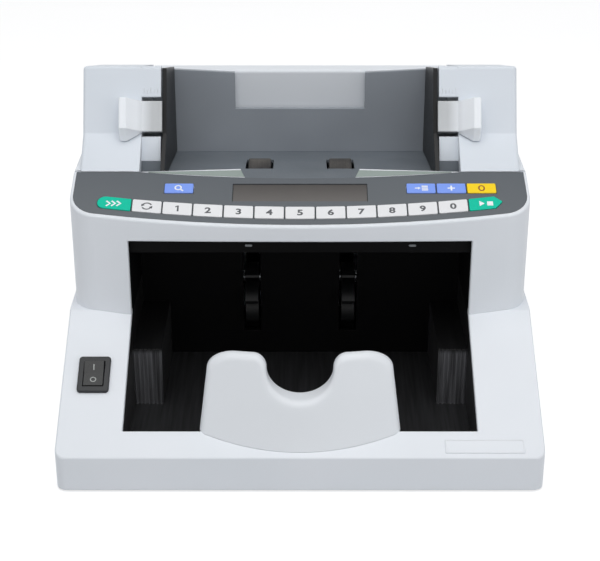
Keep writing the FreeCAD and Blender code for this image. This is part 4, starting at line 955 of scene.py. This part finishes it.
@dataclass
class KeyPanel(Assembly):
    """Sloped panel with its film, window and keys, the ramps behind the film, and the print on the keys."""

    back: float = 6.0
    top: float = 143.0
    slope: float = 20.0
    print_height: float = 0.03
    print_sink: float = 0.01
    digit_height: float = 4.8
    digit_spread: float = 1.16
    digit_weight: float = 0.032
    digit_steps: int = 8
    stem_x: float = 0.35
    stem_width: float = 1.0
    flag: tuple[tuple[float, float], ...] = ((-1.15, -1.15), (0.1, -0.35))
    flag_width: float = 0.8
    sign_half: float = 2.1
    sign_width: float = 0.95
    tip_width: float = 0.05
    turn_radius: float = 2.6
    turn_angle: float = 125.0
    lip_outer: float = 89.0
    lip_inner: float = 34.9
    lip_foot: float = 32.4
    lip_height: float = 2.0
    lip_base: tuple[float, float] = (-0.1, 0.06)
    lip_sections: int = 25
    bead_share: float = 0.14
    bead_lift: float = 0.05
    film_mid: float = 5.4
    film_rise: float = 4.6
    film_reach: float = 88.0
    looks: ClassVar[Looks] = {
        "panel_print": ("panel_overlay",),
        "window_smoke": ("display_window",),
        "pulley_plastic": ("display_module",),
        "board_green": ("key_board",),
        "key_white": ("mode_key", *(f"digit_key_{number}" for number in range(10))),
        "key_green": ("preset_key", "start_key"),
        "key_blue": ("detect_key", "batch_key", "add_key"),
        "key_yellow": ("clear_key",),
    }
    marks: ClassVar[dict[str, tuple[Mark, str]]] = {
        "preset_key": (Mark.SPEED, "ink_white"),
        "mode_key": (Mark.TURNS, "ink_grey"),
        "detect_key": (Mark.LENS, "ink_white"),
        "batch_key": (Mark.PILE, "ink_white"),
        "add_key": (Mark.PLUS, "ink_white"),
        "clear_key": (Mark.ZERO, "ink_brown"),
        "start_key": (Mark.RUN, "ink_white"),
    }

    def panel_place(self) -> Matrix:
        """Placement of the panel's top plane: X across, Y up the slope, Z out of it."""
        return Matrix.Translation((0, self.back * MM, self.top * MM)) @ tilt(math.radians(self.slope))

    def key_place(self, key: str) -> Matrix:
        """Placement of the middle of a key's face, read from its solid.

        Args:
            key: the key's node name.
        Returns:
            The placement in metres, with Z out of the face.
        """
        panel = self.panel_place()
        local = apply_place(node_points(key), panel.inverted())
        low, high = local.min(axis=0), local.max(axis=0)
        return panel @ Matrix.Translation((*((low + high) / 2)[:2], high[2]))

    def digit_mesh(self, digit: str, place: Matrix) -> bpy.types.Mesh:
        """Bold figure as a thin solid of print: a stem with a flag for 1, the font's outline for the others.

        Args:
            digit: the figure.
            place: placement of its middle.
        Returns:
            The mesh.
        """
        if digit == "1":
            half = self.digit_height / 2
            art = Surface()
            stem = line((self.stem_x, -half), (self.stem_x, half))
            for path, width in ((stem, self.stem_width), (line(*self.flag) + (0.0, half), self.flag_width)):
                art.stroke(path, width, -self.print_sink, self.print_height)
            return art.mesh("figure_1", place @ IN_MM)
        curve = bpy.data.curves.new("figure", "FONT")
        curve.body = digit
        curve.size = 1.0
        curve.offset = self.digit_weight
        curve.extrude = 0.5
        curve.resolution_u = self.digit_steps
        holder = bpy.data.objects.new("figure", curve)
        bpy.context.scene.collection.objects.link(holder)
        bpy.context.view_layer.update()
        mesh = bpy.data.meshes.new_from_object(holder.evaluated_get(bpy.context.evaluated_depsgraph_get()))
        bpy.data.objects.remove(holder)
        points = mesh_points(mesh)
        low, high = points.min(axis=0), points.max(axis=0)
        points -= (low + high) / 2
        points *= self.digit_height * MM / (high[1] - low[1])
        points[:, 0] *= self.digit_spread
        points[:, 2] = np.where(points[:, 2] > 0, self.print_height * MM, -self.print_sink * MM)
        mesh.vertices.foreach_set("co", apply_place(points, place).ravel())
        mesh.update()
        return mesh

    def mark_surface(self, mark: Mark) -> Surface:
        """Strokes of a sign, in millimetres about its middle; an arrow's head is a stroke that ends in a tip.

        Args:
            mark: the sign.
        Returns:
            The gathered strokes.
        """
        half, width, tip = self.sign_half, self.sign_width, self.tip_width
        art = Surface()
        draw = partial(art.stroke, low=-self.print_sink, high=self.print_height)
        if mark is Mark.SPEED:
            for x in (-3.4, -0.4, 2.6):
                draw(line((x - 1.1, half), (x + 1.1, 0.0), (x - 1.1, -half)), 1.15)
        elif mark is Mark.TURNS:
            for start in (20.0, 200.0):
                arc = circle(self.turn_radius, start=start, turn=self.turn_angle, count=24)
                draw(arc, 0.85)
                end_angle = math.radians(start + self.turn_angle)
                ahead = np.array([-math.sin(end_angle), math.cos(end_angle)])
                end = self.turn_radius * np.array([math.cos(end_angle), math.sin(end_angle)])
                draw(np.stack([end, end + ahead * 2.0]), np.array([2.3, tip]))
        elif mark is Mark.LENS:
            draw(circle(1.75, (-0.5, 0.4)), 0.8, closed=True)
            draw(line((0.85, -0.9), (2.5, -2.4)), width)
        elif mark is Mark.PILE:
            for y in (-1.6, 0.0, 1.6):
                draw(line((0.4, y), (4.0, y)), width)
            draw(line((-3.6, 0.0), (-1.6, 0.0)), 0.8)
            draw(line((-1.8, 0.0), (-0.2, 0.0)), np.array([2.4, tip]))
        elif mark is Mark.PLUS:
            draw(line((-half, 0.0), (half, 0.0)), width)
            draw(line((0.0, -half), (0.0, -width / 2)), width)
            draw(line((0.0, width / 2), (0.0, half)), width)
        elif mark is Mark.ZERO:
            draw(circle(1.0) * (1.55, half), 0.9, closed=True)
        else:
            draw(line((-3.6, 0.0), (-0.6, 0.0)), np.array([4.4, tip]))
            draw(line((0.8, 0.0), (4.2, 0.0)), 3.5)
        return art

    def lip_surface(self, side: int, reach: float = 1.0, lift: float = 0.0) -> Surface:
        """Ramp behind the film on one side of the finger scoop, in millimetres on the panel's plane.

        Each section runs from v = 0, where it stands lip_height high at the scoop and fades to nothing at its
        outer end, down to the film's rear edge, v = -mid + rise (u / film_reach)^2, or a share of that way.

        Args:
            side: -1 for the left ramp, 1 for the right one.
            reach: share of the way to the film.
            lift: height above the whole ramp.
        Returns:
            The closed ramp.
        """
        share = np.linspace(0.0, 1.0, self.lip_sections)
        crest = self.lip_outer + (self.lip_inner - self.lip_outer) * share
        foot = self.lip_outer + (self.lip_foot - self.lip_outer) * share
        film = -self.film_mid + self.film_rise * (foot / self.film_reach) ** 2
        low, high = self.lip_base
        points = np.zeros((len(share), 4, 3))
        points[:, :2, 0] = -crest[:, None]
        points[:, 2:, 0] = -(crest + (foot - crest) * reach)[:, None]
        points[:, 2:, 1] = film[:, None] * reach
        points[:, (0, 3), 2] = low
        points[:, 1, 2] = high + lift + self.lip_height * share
        points[:, 2, 2] = high + lift + self.lip_height * share * (1.0 - reach)
        if side > 0:
            points = points[::-1] * (-1.0, 1.0, 1.0)
        return Surface.solid(points)

    def build(self) -> None:
        """Makes the ramps behind the film, their darker greenish grey partly a tint and partly painted shade,
        each with a bead in the case's pale colour along its crest as a painted highlight, and prints the
        keys.
        """
        panel = self.panel_place()
        for name, side in SIDES.items():
            ramp = self.lip_surface(side)
            ramp.piece(f"hopper_lip_{name}", panel, "chassis", "lip_shaded_grey", "case_plastic")
            # The pale bead along the crest is a painted highlight.
            bead = self.lip_surface(side, self.bead_share, self.bead_lift)
            bead.piece(f"lip_highlight_bead_{name}", panel, "chassis", "case_plastic", "case_plastic")
        for number in range(10):
            key = f"digit_key_{number}"
            figure = self.digit_mesh(str(number), self.key_place(key))
            place_piece(f"figure_{number}", figure, key, "ink_grey")
        for key, (mark, ink) in self.marks.items():
            self.mark_surface(mark).piece("sign_" + mark.value, self.key_place(key), key, ink)


@dataclass
class Case(Assembly):
    """Base, head and rear cover, and the bare name plate."""

    deck_front: float = -116.0
    skirt_top: float = 22.0
    deck_rise: float = 48.0
    deck_run: float = 86.0
    plate_x: float = 101.8
    plate_setback: float = 6.4
    plate_size: tuple[float, float] = (44.0, 8.8)
    plate_radius: float = 0.8
    plate_least_radius: float = 0.1
    plate_profile: tuple[tuple[float, float], ...] = ((0.0, -0.1), (0.0, 0.3), (0.15, 0.5), (0.75, 0.5),
                                                      (0.95, 0.25), (2.0, 0.25))
    looks: ClassVar[Looks] = {
        "case_plastic": ("base_housing", "front_cover", "rear_cover"),
        "plate_paint": ("bottom_plate",),
        "roller_rubber": ("rubber_feet",),
        "shaft_steel": ("case_screws",),
        "switch_black": ("mains_inlet",),
    }

    def deck_place(self, x: float, setback: float) -> Matrix:
        """Placement on the deck.

        Args:
            x: place across, in millimetres.
            setback: distance behind the deck's front edge.
        Returns:
            The placement in metres, with Y up the slope and Z out of it.
        """
        rise = self.deck_rise / self.deck_run
        spot = Vector((x, self.deck_front + setback, self.skirt_top + setback * rise)) * MM
        return Matrix.Translation(spot) @ tilt(math.atan(rise))

    def build(self) -> None:
        """Makes the bare name plate: rings of a rounded rectangle, drawn in and raised by its profile."""
        half_width, half_height = self.plate_size[0] / 2, self.plate_size[1] / 2
        outlines = [rounded_outline(half_width - inset, half_height - inset,
                                    max(self.plate_radius - inset, self.plate_least_radius))
                    for inset, _ in self.plate_profile]
        plate = Surface.stacked(outlines, [height for _, height in self.plate_profile])
        place = self.deck_place(self.plate_x, self.plate_setback)
        plate.piece("nameplate", place, "chassis", "case_plastic", "case_plastic")


@dataclass
class NoteStop(Assembly):
    """Leaning, bowed tongue in front of the pocket, with a round scoop for the thumb."""

    case: Case
    foot_half: float = 55.8
    shoulder_half: float = 51.8
    lobe_outer: float = 34.9
    lobe_inner: float = 25.7
    notch_half: float = 18.4
    top: float = 72.7
    shoulder_drop: float = 11.5
    notch_drop: float = 7.9
    notch_bottom: float = 49.4
    setback: float = 3.0
    lean: float = 21.0
    bow: float = 9.5
    back_bow: float = 8.0
    bow_reach: float = 58.0
    top_thickness: float = 6.0
    thickening: float = 0.28
    face_radius: float = 3.4
    back_radius: float = 1.2
    arc_steps: int = 30
    columns: int = 161
    rows: int = 14
    edge_rows: int = 10
    edge_reach: float = 1.2
    edge_crowding: float = 1.6
    looks: ClassVar[Looks] = {"stop_plastic": ("stacker_stop",)}

    def top_line(self) -> np.ndarray:
        """Upper edge from left to right.

        Quarter ellipses make the shoulder, the lobe's inner corner and half the scoop; the rest is mirrored.

        Returns:
            An array (n, 2) of X and Z, at even steps along the edge.
        """
        turn = np.linspace(0.0, math.pi / 2, self.arc_steps)
        shoulder_z, notch_z = self.top - self.shoulder_drop, self.top - self.notch_drop
        shoulder = np.stack([self.lobe_outer + (self.shoulder_half - self.lobe_outer) * np.cos(turn),
                             shoulder_z + self.shoulder_drop * np.sin(turn)], axis=1)
        corner = np.stack([self.lobe_inner - (self.lobe_inner - self.notch_half) * np.sin(turn),
                           notch_z + self.notch_drop * np.cos(turn)], axis=1)
        scoop = np.stack([self.notch_half * np.cos(turn),
                          notch_z - (notch_z - self.notch_bottom) * np.sin(turn)], axis=1)
        right = np.concatenate([shoulder, corner, scoop[1:]])
        whole = np.concatenate([right * (-1.0, 1.0), right[-2::-1]])
        step = np.concatenate([[0.0], np.cumsum(np.linalg.norm(np.diff(whole, axis=0), axis=1))])
        even = np.linspace(0.0, step[-1], self.columns)
        return np.stack([np.interp(even, step, whole[:, axis]) for axis in (0, 1)], axis=1)

    def edge_distance(self, spots: np.ndarray, edge: np.ndarray) -> np.ndarray:
        """Distance from an edge, taken segment by segment.

        Args:
            spots: array (..., 2) of spots.
            edge: array (n, 2) of points along the edge.
        Returns:
            An array (...) of distances.
        """
        start, ahead = edge[:-1], np.diff(edge, axis=0)
        offset = spots[..., None, :] - start
        share = np.clip((offset * ahead).sum(-1) / np.maximum((ahead ** 2).sum(-1), TINY), 0.0, 1.0)
        return np.linalg.norm(offset - share[..., None] * ahead, axis=-1).min(axis=-1)

    def rounding(self, distance: np.ndarray, radius: float) -> np.ndarray:
        """How far a face falls back near its edge: a quarter circle of the radius."""
        inside = radius - np.minimum(distance, radius)
        return radius - np.sqrt(np.maximum(radius ** 2 - inside ** 2, 0.0))

    def build(self) -> None:
        """Makes the tongue: columns from the deck to the upper edge, each a ring over its back and its face.

        At a spot (x, z) the face lies at y = y0 + tan(lean) (z - z0) + bow (x / reach)^2, and the back behind
        it by a thickness that grows downwards; near the edge both fall back as a quarter circle. Both end on
        the deck.
        """
        rise = self.case.deck_rise / self.case.deck_run
        front_y = self.case.deck_front + self.setback
        front_z = self.case.skirt_top + self.setback * rise
        lean = math.tan(math.radians(self.lean))
        upper = self.top_line()
        foot_x = upper[:, 0] * self.foot_half / self.shoulder_half
        bowed = (foot_x / self.bow_reach) ** 2
        foot_z = front_z + rise * self.bow * bowed / (1.0 - rise * lean)
        foot = np.stack([foot_x, foot_z], axis=1)
        depth = self.back_bow * bowed + self.top_thickness + self.thickening * (self.top - front_z)
        back_foot_z = front_z + rise * depth / (1.0 - rise * lean + rise * self.thickening)
        back_share = (upper[:, 1] - back_foot_z) / (upper[:, 1] - foot_z)
        length = np.linalg.norm(upper - foot, axis=1)
        crowded = np.linspace(0.0, 1.0, self.edge_rows) ** self.edge_crowding
        near = self.face_radius * self.edge_reach * crowded
        far = near[-1] + (length[:, None] - near[-1]) * np.linspace(0.0, 1.0, self.rows)[1:]
        near = np.broadcast_to(near, (self.columns, self.edge_rows))
        down = np.concatenate([near, far], axis=1) / length[:, None]
        edge = np.concatenate([foot[:1], upper, foot[-1:]])
        sheets = []
        for share, bow, radius in ((down, self.bow, self.face_radius),
                                   (down * back_share[:, None], self.back_bow, self.back_radius)):
            spots = upper[:, None, :] + (foot - upper)[:, None, :] * share[..., None]
            x, z = spots[..., 0], spots[..., 1]
            y = front_y + lean * (z - front_z) + bow * (x / self.bow_reach) ** 2
            fall = self.rounding(self.edge_distance(spots, edge), radius)
            sheets.append((x, y, z, fall))
        x, y, z, fall = sheets[0]
        face = np.stack([x, y + fall, z], axis=-1)
        x, y, z, fall = sheets[1]
        thick = self.top_thickness + self.thickening * (self.top - z)
        back = np.stack([x, y + thick - fall, z], axis=-1)[:, ::-1]
        tongue = Surface.solid(np.concatenate([back, face], axis=1))
        piece = tongue.piece("note_stop", Matrix.Identity(4), "chassis", "stop_plastic", "stop_plastic",
                             smooth=True)
        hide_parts("stacker_stop")


@dataclass
class Hopper(Assembly):
    """Hopper blocks, floor, back plate and the sliding guides."""

    facet: tuple[float, float] = (28.0, 159.0)
    ridge: tuple[float, float] = (46.0, 195.0)
    scale_x: float = 85.0
    scale_step: float = 2.0
    scale_count: int = 5
    scale_low: float = 24.0
    scale_lengths: tuple[float, float] = (3.2, 2.0)
    scale_width: float = 0.35
    scale_heights: tuple[float, float] = (-0.05, 0.12)
    apron_x: tuple[float, float] = (82.4, 94.4)
    apron_top: tuple[float, float] = (20.6, 144.3)
    apron_lean: float = 26.6
    apron_length: float = 9.5
    apron_thickness: float = 1.0
    looks: ClassVar[Looks] = {
        "block_plastic_shaded": ("hopper_side_left", "hopper_side_right"),
        "slider_plastic": ("guide_slider_left", "guide_slider_right"),
        "guide_black": ("guide_plate_left", "guide_plate_right"),
        "hopper_dark": ("hopper_floor",),
        "plate_grey": ("hopper_back_plate",),
    }

    def facet_place(self, x: float, along: float) -> Matrix:
        """Placement on the blocks' upper facet.

        Args:
            x: place across, in millimetres.
            along: distance up the facet.
        Returns:
            The placement in metres, with Y up the facet and Z out of it.
        """
        run, rise = self.ridge[0] - self.facet[0], self.ridge[1] - self.facet[1]
        length = math.hypot(run, rise)
        spot = Vector((x, self.facet[0] + along * run / length, self.facet[1] + along * rise / length)) * MM
        return Matrix.Translation(spot) @ tilt(math.atan2(rise, run))

    def apron_surface(self, side: int) -> Surface:
        """Plate that carries a block's sill on down to the floor: a section in the YZ plane, carried along X.

        Args:
            side: -1 for the left block, 1 for the right one.
        Returns:
            The closed plate, in millimetres.
        """
        lean = math.radians(self.apron_lean)
        top = np.array(self.apron_top)
        foot = top - self.apron_length * np.array([math.sin(lean), math.cos(lean)])
        behind = self.apron_thickness * np.array([math.cos(lean), -math.sin(lean)])
        points = np.zeros((2, 4, 3))
        points[..., 0] = np.sort(np.array(self.apron_x) * side)[:, None]
        points[..., 1:] = np.stack([foot + behind, top + behind, top, foot])
        return Surface.solid(points)

    def build(self) -> None:
        """Makes the plate under each sill, in the floor's dark grey as painted shade, and the raised scale
        beside each guide, every other stroke long.
        """
        for name, side in SIDES.items():
            # The apron carries the block's face on down in a dark grey: painted shade.
            self.apron_surface(side).piece(f"shaded_sill_apron_{name}", Matrix.Identity(4), "chassis", "hopper_dark")
            scale = Surface()
            for index in range(self.scale_count):
                x = side * index * self.scale_step
                path = line((x, 0.0), (x, self.scale_lengths[index % 2]))
                scale.stroke(path, self.scale_width, *self.scale_heights)
            place = self.facet_place(side * self.scale_x, self.scale_low)
            scale.piece(f"guide_scale_{name}", place, "chassis", "case_plastic", "case_plastic")


@dataclass
class MainsSwitch(Assembly):
    """Rocker switch on the deck with its two signs."""

    case: Case
    x: float = -117.0
    setback: float = 46.7
    tip: float = 8.0
    reach: float = 7.7
    crest: float = 3.6
    dip: float = 2.5
    bar_half: float = 1.7
    bar_width: float = 0.6
    ring_radius: float = 1.45
    ring_width: float = 0.55
    sign_heights: tuple[float, float] = (-0.05, 0.06)
    looks: ClassVar[Looks] = {
        "switch_black": ("switch_bezel",),
        "rocker_black": ("switch_rocker",),
    }

    def face_place(self, upper: bool) -> Matrix:
        """Placement of the middle of one half of the rocker's face.

        Args:
            upper: the half that lies further up the deck.
        Returns:
            The placement in metres, with Z out of the face.
        """
        side = 1 if upper else -1
        slant = side * math.atan2(self.crest - self.dip, self.reach)
        middle = Vector((0, side * self.reach / 2, (self.crest + self.dip) / 2)) * MM
        tipped = self.case.deck_place(self.x, self.setback) @ tilt(math.radians(self.tip))
        return tipped @ Matrix.Translation(middle) @ tilt(slant)

    def build(self) -> None:
        """Makes the bar and the ring as raised strokes."""
        bar = Surface()
        bar.stroke(line((0.0, -self.bar_half), (0.0, self.bar_half)), self.bar_width, *self.sign_heights)
        ring = Surface()
        ring.stroke(circle(self.ring_radius), self.ring_width, *self.sign_heights, closed=True)
        for name, art, upper in (("bar", bar, True), ("ring", ring, False)):
            art.piece("switch_" + name, self.face_place(upper), "switch_rocker", "ink_pale")


@dataclass
class Pocket(Assembly):
    """Black lining of the stacking pocket, with the sensors under its lintel."""

    sensors: dict[str, float] = field(default_factory=lambda: {"left": -29.6, "right": 64.8})
    sensor_height: float = 110.4
    sensor_size: tuple[float, float] = (4.4, 1.7)
    sensor_proud: float = 0.5
    sensor_rings: int = 6
    sensor_turn: float = 80.0
    sensor_flat: float = 0.01
    looks: ClassVar[Looks] = {
        "pocket_black": ("pocket_tray",),
        "hood_black": ("pocket_hood",),
    }

    def build(self) -> None:
        """Makes the sensor lenses: rings of a rounded bar that draw in as a quarter circle to the top."""
        half_width, half_height = self.sensor_size[0] / 2, self.sensor_size[1] / 2
        turn = np.radians(np.linspace(0.0, self.sensor_turn, self.sensor_rings))
        insets = self.sensor_proud * (1.0 - np.cos(turn))
        heights = self.sensor_proud * np.sin(turn)
        outlines = [rounded_outline(half_width - inset, half_height - inset,
                                    half_height - inset - self.sensor_flat) for inset in insets]
        lip_y = float(node_points("pocket_hood")[:, 1].min())
        for side, x in self.sensors.items():
            spot = Matrix.Translation((x * MM, lip_y, self.sensor_height * MM))
            place = spot @ tilt(math.radians(90.0))
            lens = Surface.stacked(outlines, heights)
            lens.piece(f"sensor_lens_{side}", place, "chassis", "sensor_lens", "window_smoke", smooth=True)


@dataclass
class Drive(Assembly):
    """Rollers, wheels, shafts, belts and boards inside the case."""

    looks: ClassVar[Looks] = {
        "roller_rubber": ("pick_rollers", "feed_rollers", "pinch_rollers", "drive_belts"),
        "guide_black": ("stacker_wheels",),
        "shaft_steel": ("pick_shaft", "feed_shaft", "stacker_shaft", "tie_rods"),
        "frame_steel": ("side_frames", "drive_motor"),
        "bush_brass": ("bearings",),
        "pulley_plastic": ("pick_pulley", "feed_pulleys", "stacker_pulley", "motor_pulley", "encoder_disc"),
        "board_green": ("main_board", "power_supply"),
    }


@dataclass
class Studio:
    """Pale floor, soft lamps, white surround and the camera."""

    camera_place: tuple[float, float, float] = (0.0, -0.809, 0.4525)
    camera_pitch: float = 25.0
    lens: float = 88.8
    sensor: float = 36.0
    floor_size: float = 6.0
    floor_points: int = 5
    floor_clear: tuple[float, float] = (0.7, 2.2)
    floor_grain: float = 3.0
    floor_roughness: float = 0.9
    floor_gloss: float = 0.1
    floor_glow: float = 0.62
    surround: float = 0.40
    aim: tuple[float, float, float] = (0.0, 0.0, 0.08)

    def lamp(self, name: str, place: Sequence[float], size: float, power: float) -> None:
        """Hangs a square soft lamp that looks at the object.

        Args:
            name: the lamp's name.
            place: where it hangs.
            size: its side in metres.
            power: its power in watts.
        """
        data = bpy.data.lights.new(name, "AREA")
        data.size = size
        data.energy = power
        lamp = bpy.data.objects.new(name, data)
        lamp.location = place
        lamp.rotation_euler = (Vector(self.aim) - Vector(place)).to_track_quat("-Z", "Y").to_euler()
        bpy.context.scene.collection.objects.link(lamp)

    def seen_share(self, tree: Tree) -> Socket:
        """Share that is 1 for camera, glossy and transmitted rays.

        Args:
            tree: the tree that it is added to.
        Returns:
            The share.
        """
        path = tree.add("LightPath").outputs
        share = tree.maths("MAXIMUM", path["Is Camera Ray"], path["Is Glossy Ray"])
        return tree.maths("MAXIMUM", share, path["Is Transmission Ray"])

    def world(self) -> None:
        """Even light from all round, seen as white."""
        world = bpy.data.worlds.new("surround")
        world.use_nodes = True
        bpy.context.scene.world = world
        tree = Tree(world.node_tree)
        strength = tree.between(self.seen_share(tree), self.surround, 1.0)
        back = world.node_tree.nodes["Background"].inputs
        tree.feed(back["Color"], WHITE)
        tree.feed(back["Strength"], strength)

    def floor(self) -> None:
        """Pale flat floor, which keeps the shadow, is nearly white to the camera and fades out far away."""
        half = self.floor_size / 2
        steps = np.linspace(-half, half, self.floor_points)
        x, y = np.meshgrid(steps, steps, indexing="xy")
        sheet = Surface()
        sheet.grid(np.stack([x, y, np.zeros_like(x)], axis=-1), False, False)
        floor = bpy.data.objects.new("floor", sheet.mesh("floor"))
        shader = Shader("floor")
        colour = shader.toned(shader.noise(shader.place(), self.floor_grain), Tone.FLOOR)
        glow = shader.maths("MULTIPLY", self.seen_share(shader), self.floor_glow)
        reach = shader.joined(shader.add("VectorMath", operation="LENGTH"), {0: shader.place()}, "Value")
        cover = shader.spread(reach, *self.floor_clear, 1.0, 0.0)
        shader.put(Base_Color=colour, Roughness=self.floor_roughness, Specular_IOR_Level=self.floor_gloss,
                   Emission_Color=WHITE, Emission_Strength=glow, Alpha=cover)
        floor.data.materials.append(shader.material)
        bpy.context.scene.collection.objects.link(floor)

    def camera(self) -> None:
        """Camera at the photograph's place."""
        data = bpy.data.cameras.new("camera")
        data.lens = self.lens
        data.sensor_width = self.sensor
        camera = bpy.data.objects.new("camera", data)
        camera.location = self.camera_place
        camera.rotation_euler = (math.radians(90.0 - self.camera_pitch), 0.0, 0.0)
        bpy.context.scene.collection.objects.link(camera)
        bpy.context.scene.camera = camera

    def build(self) -> None:
        """Sets up the whole studio."""
        bpy.context.scene.view_settings.view_transform = "Standard"
        self.world()
        self.floor()
        self.lamp("top_lamp", (0.0, -0.35, 1.25), size=1.1, power=8.0)
        self.lamp("left_lamp", (-1.1, -0.8, 0.6), size=0.8, power=1.6)
        self.lamp("right_lamp", (1.1, -0.8, 0.6), size=0.8, power=3.0)
        self.camera()


def main() -> None:
    """Builds and dresses each sub-assembly in order."""
    logging.basicConfig(level=logging.INFO, format="%(message)s")
    case = Case()
    for part in (case, NoteStop(case), KeyPanel(), Hopper(), MainsSwitch(case), Pocket(), Drive()):
        part.dress()
        part.build()
    Studio().build()


if __name__ == "__main__":
    main()
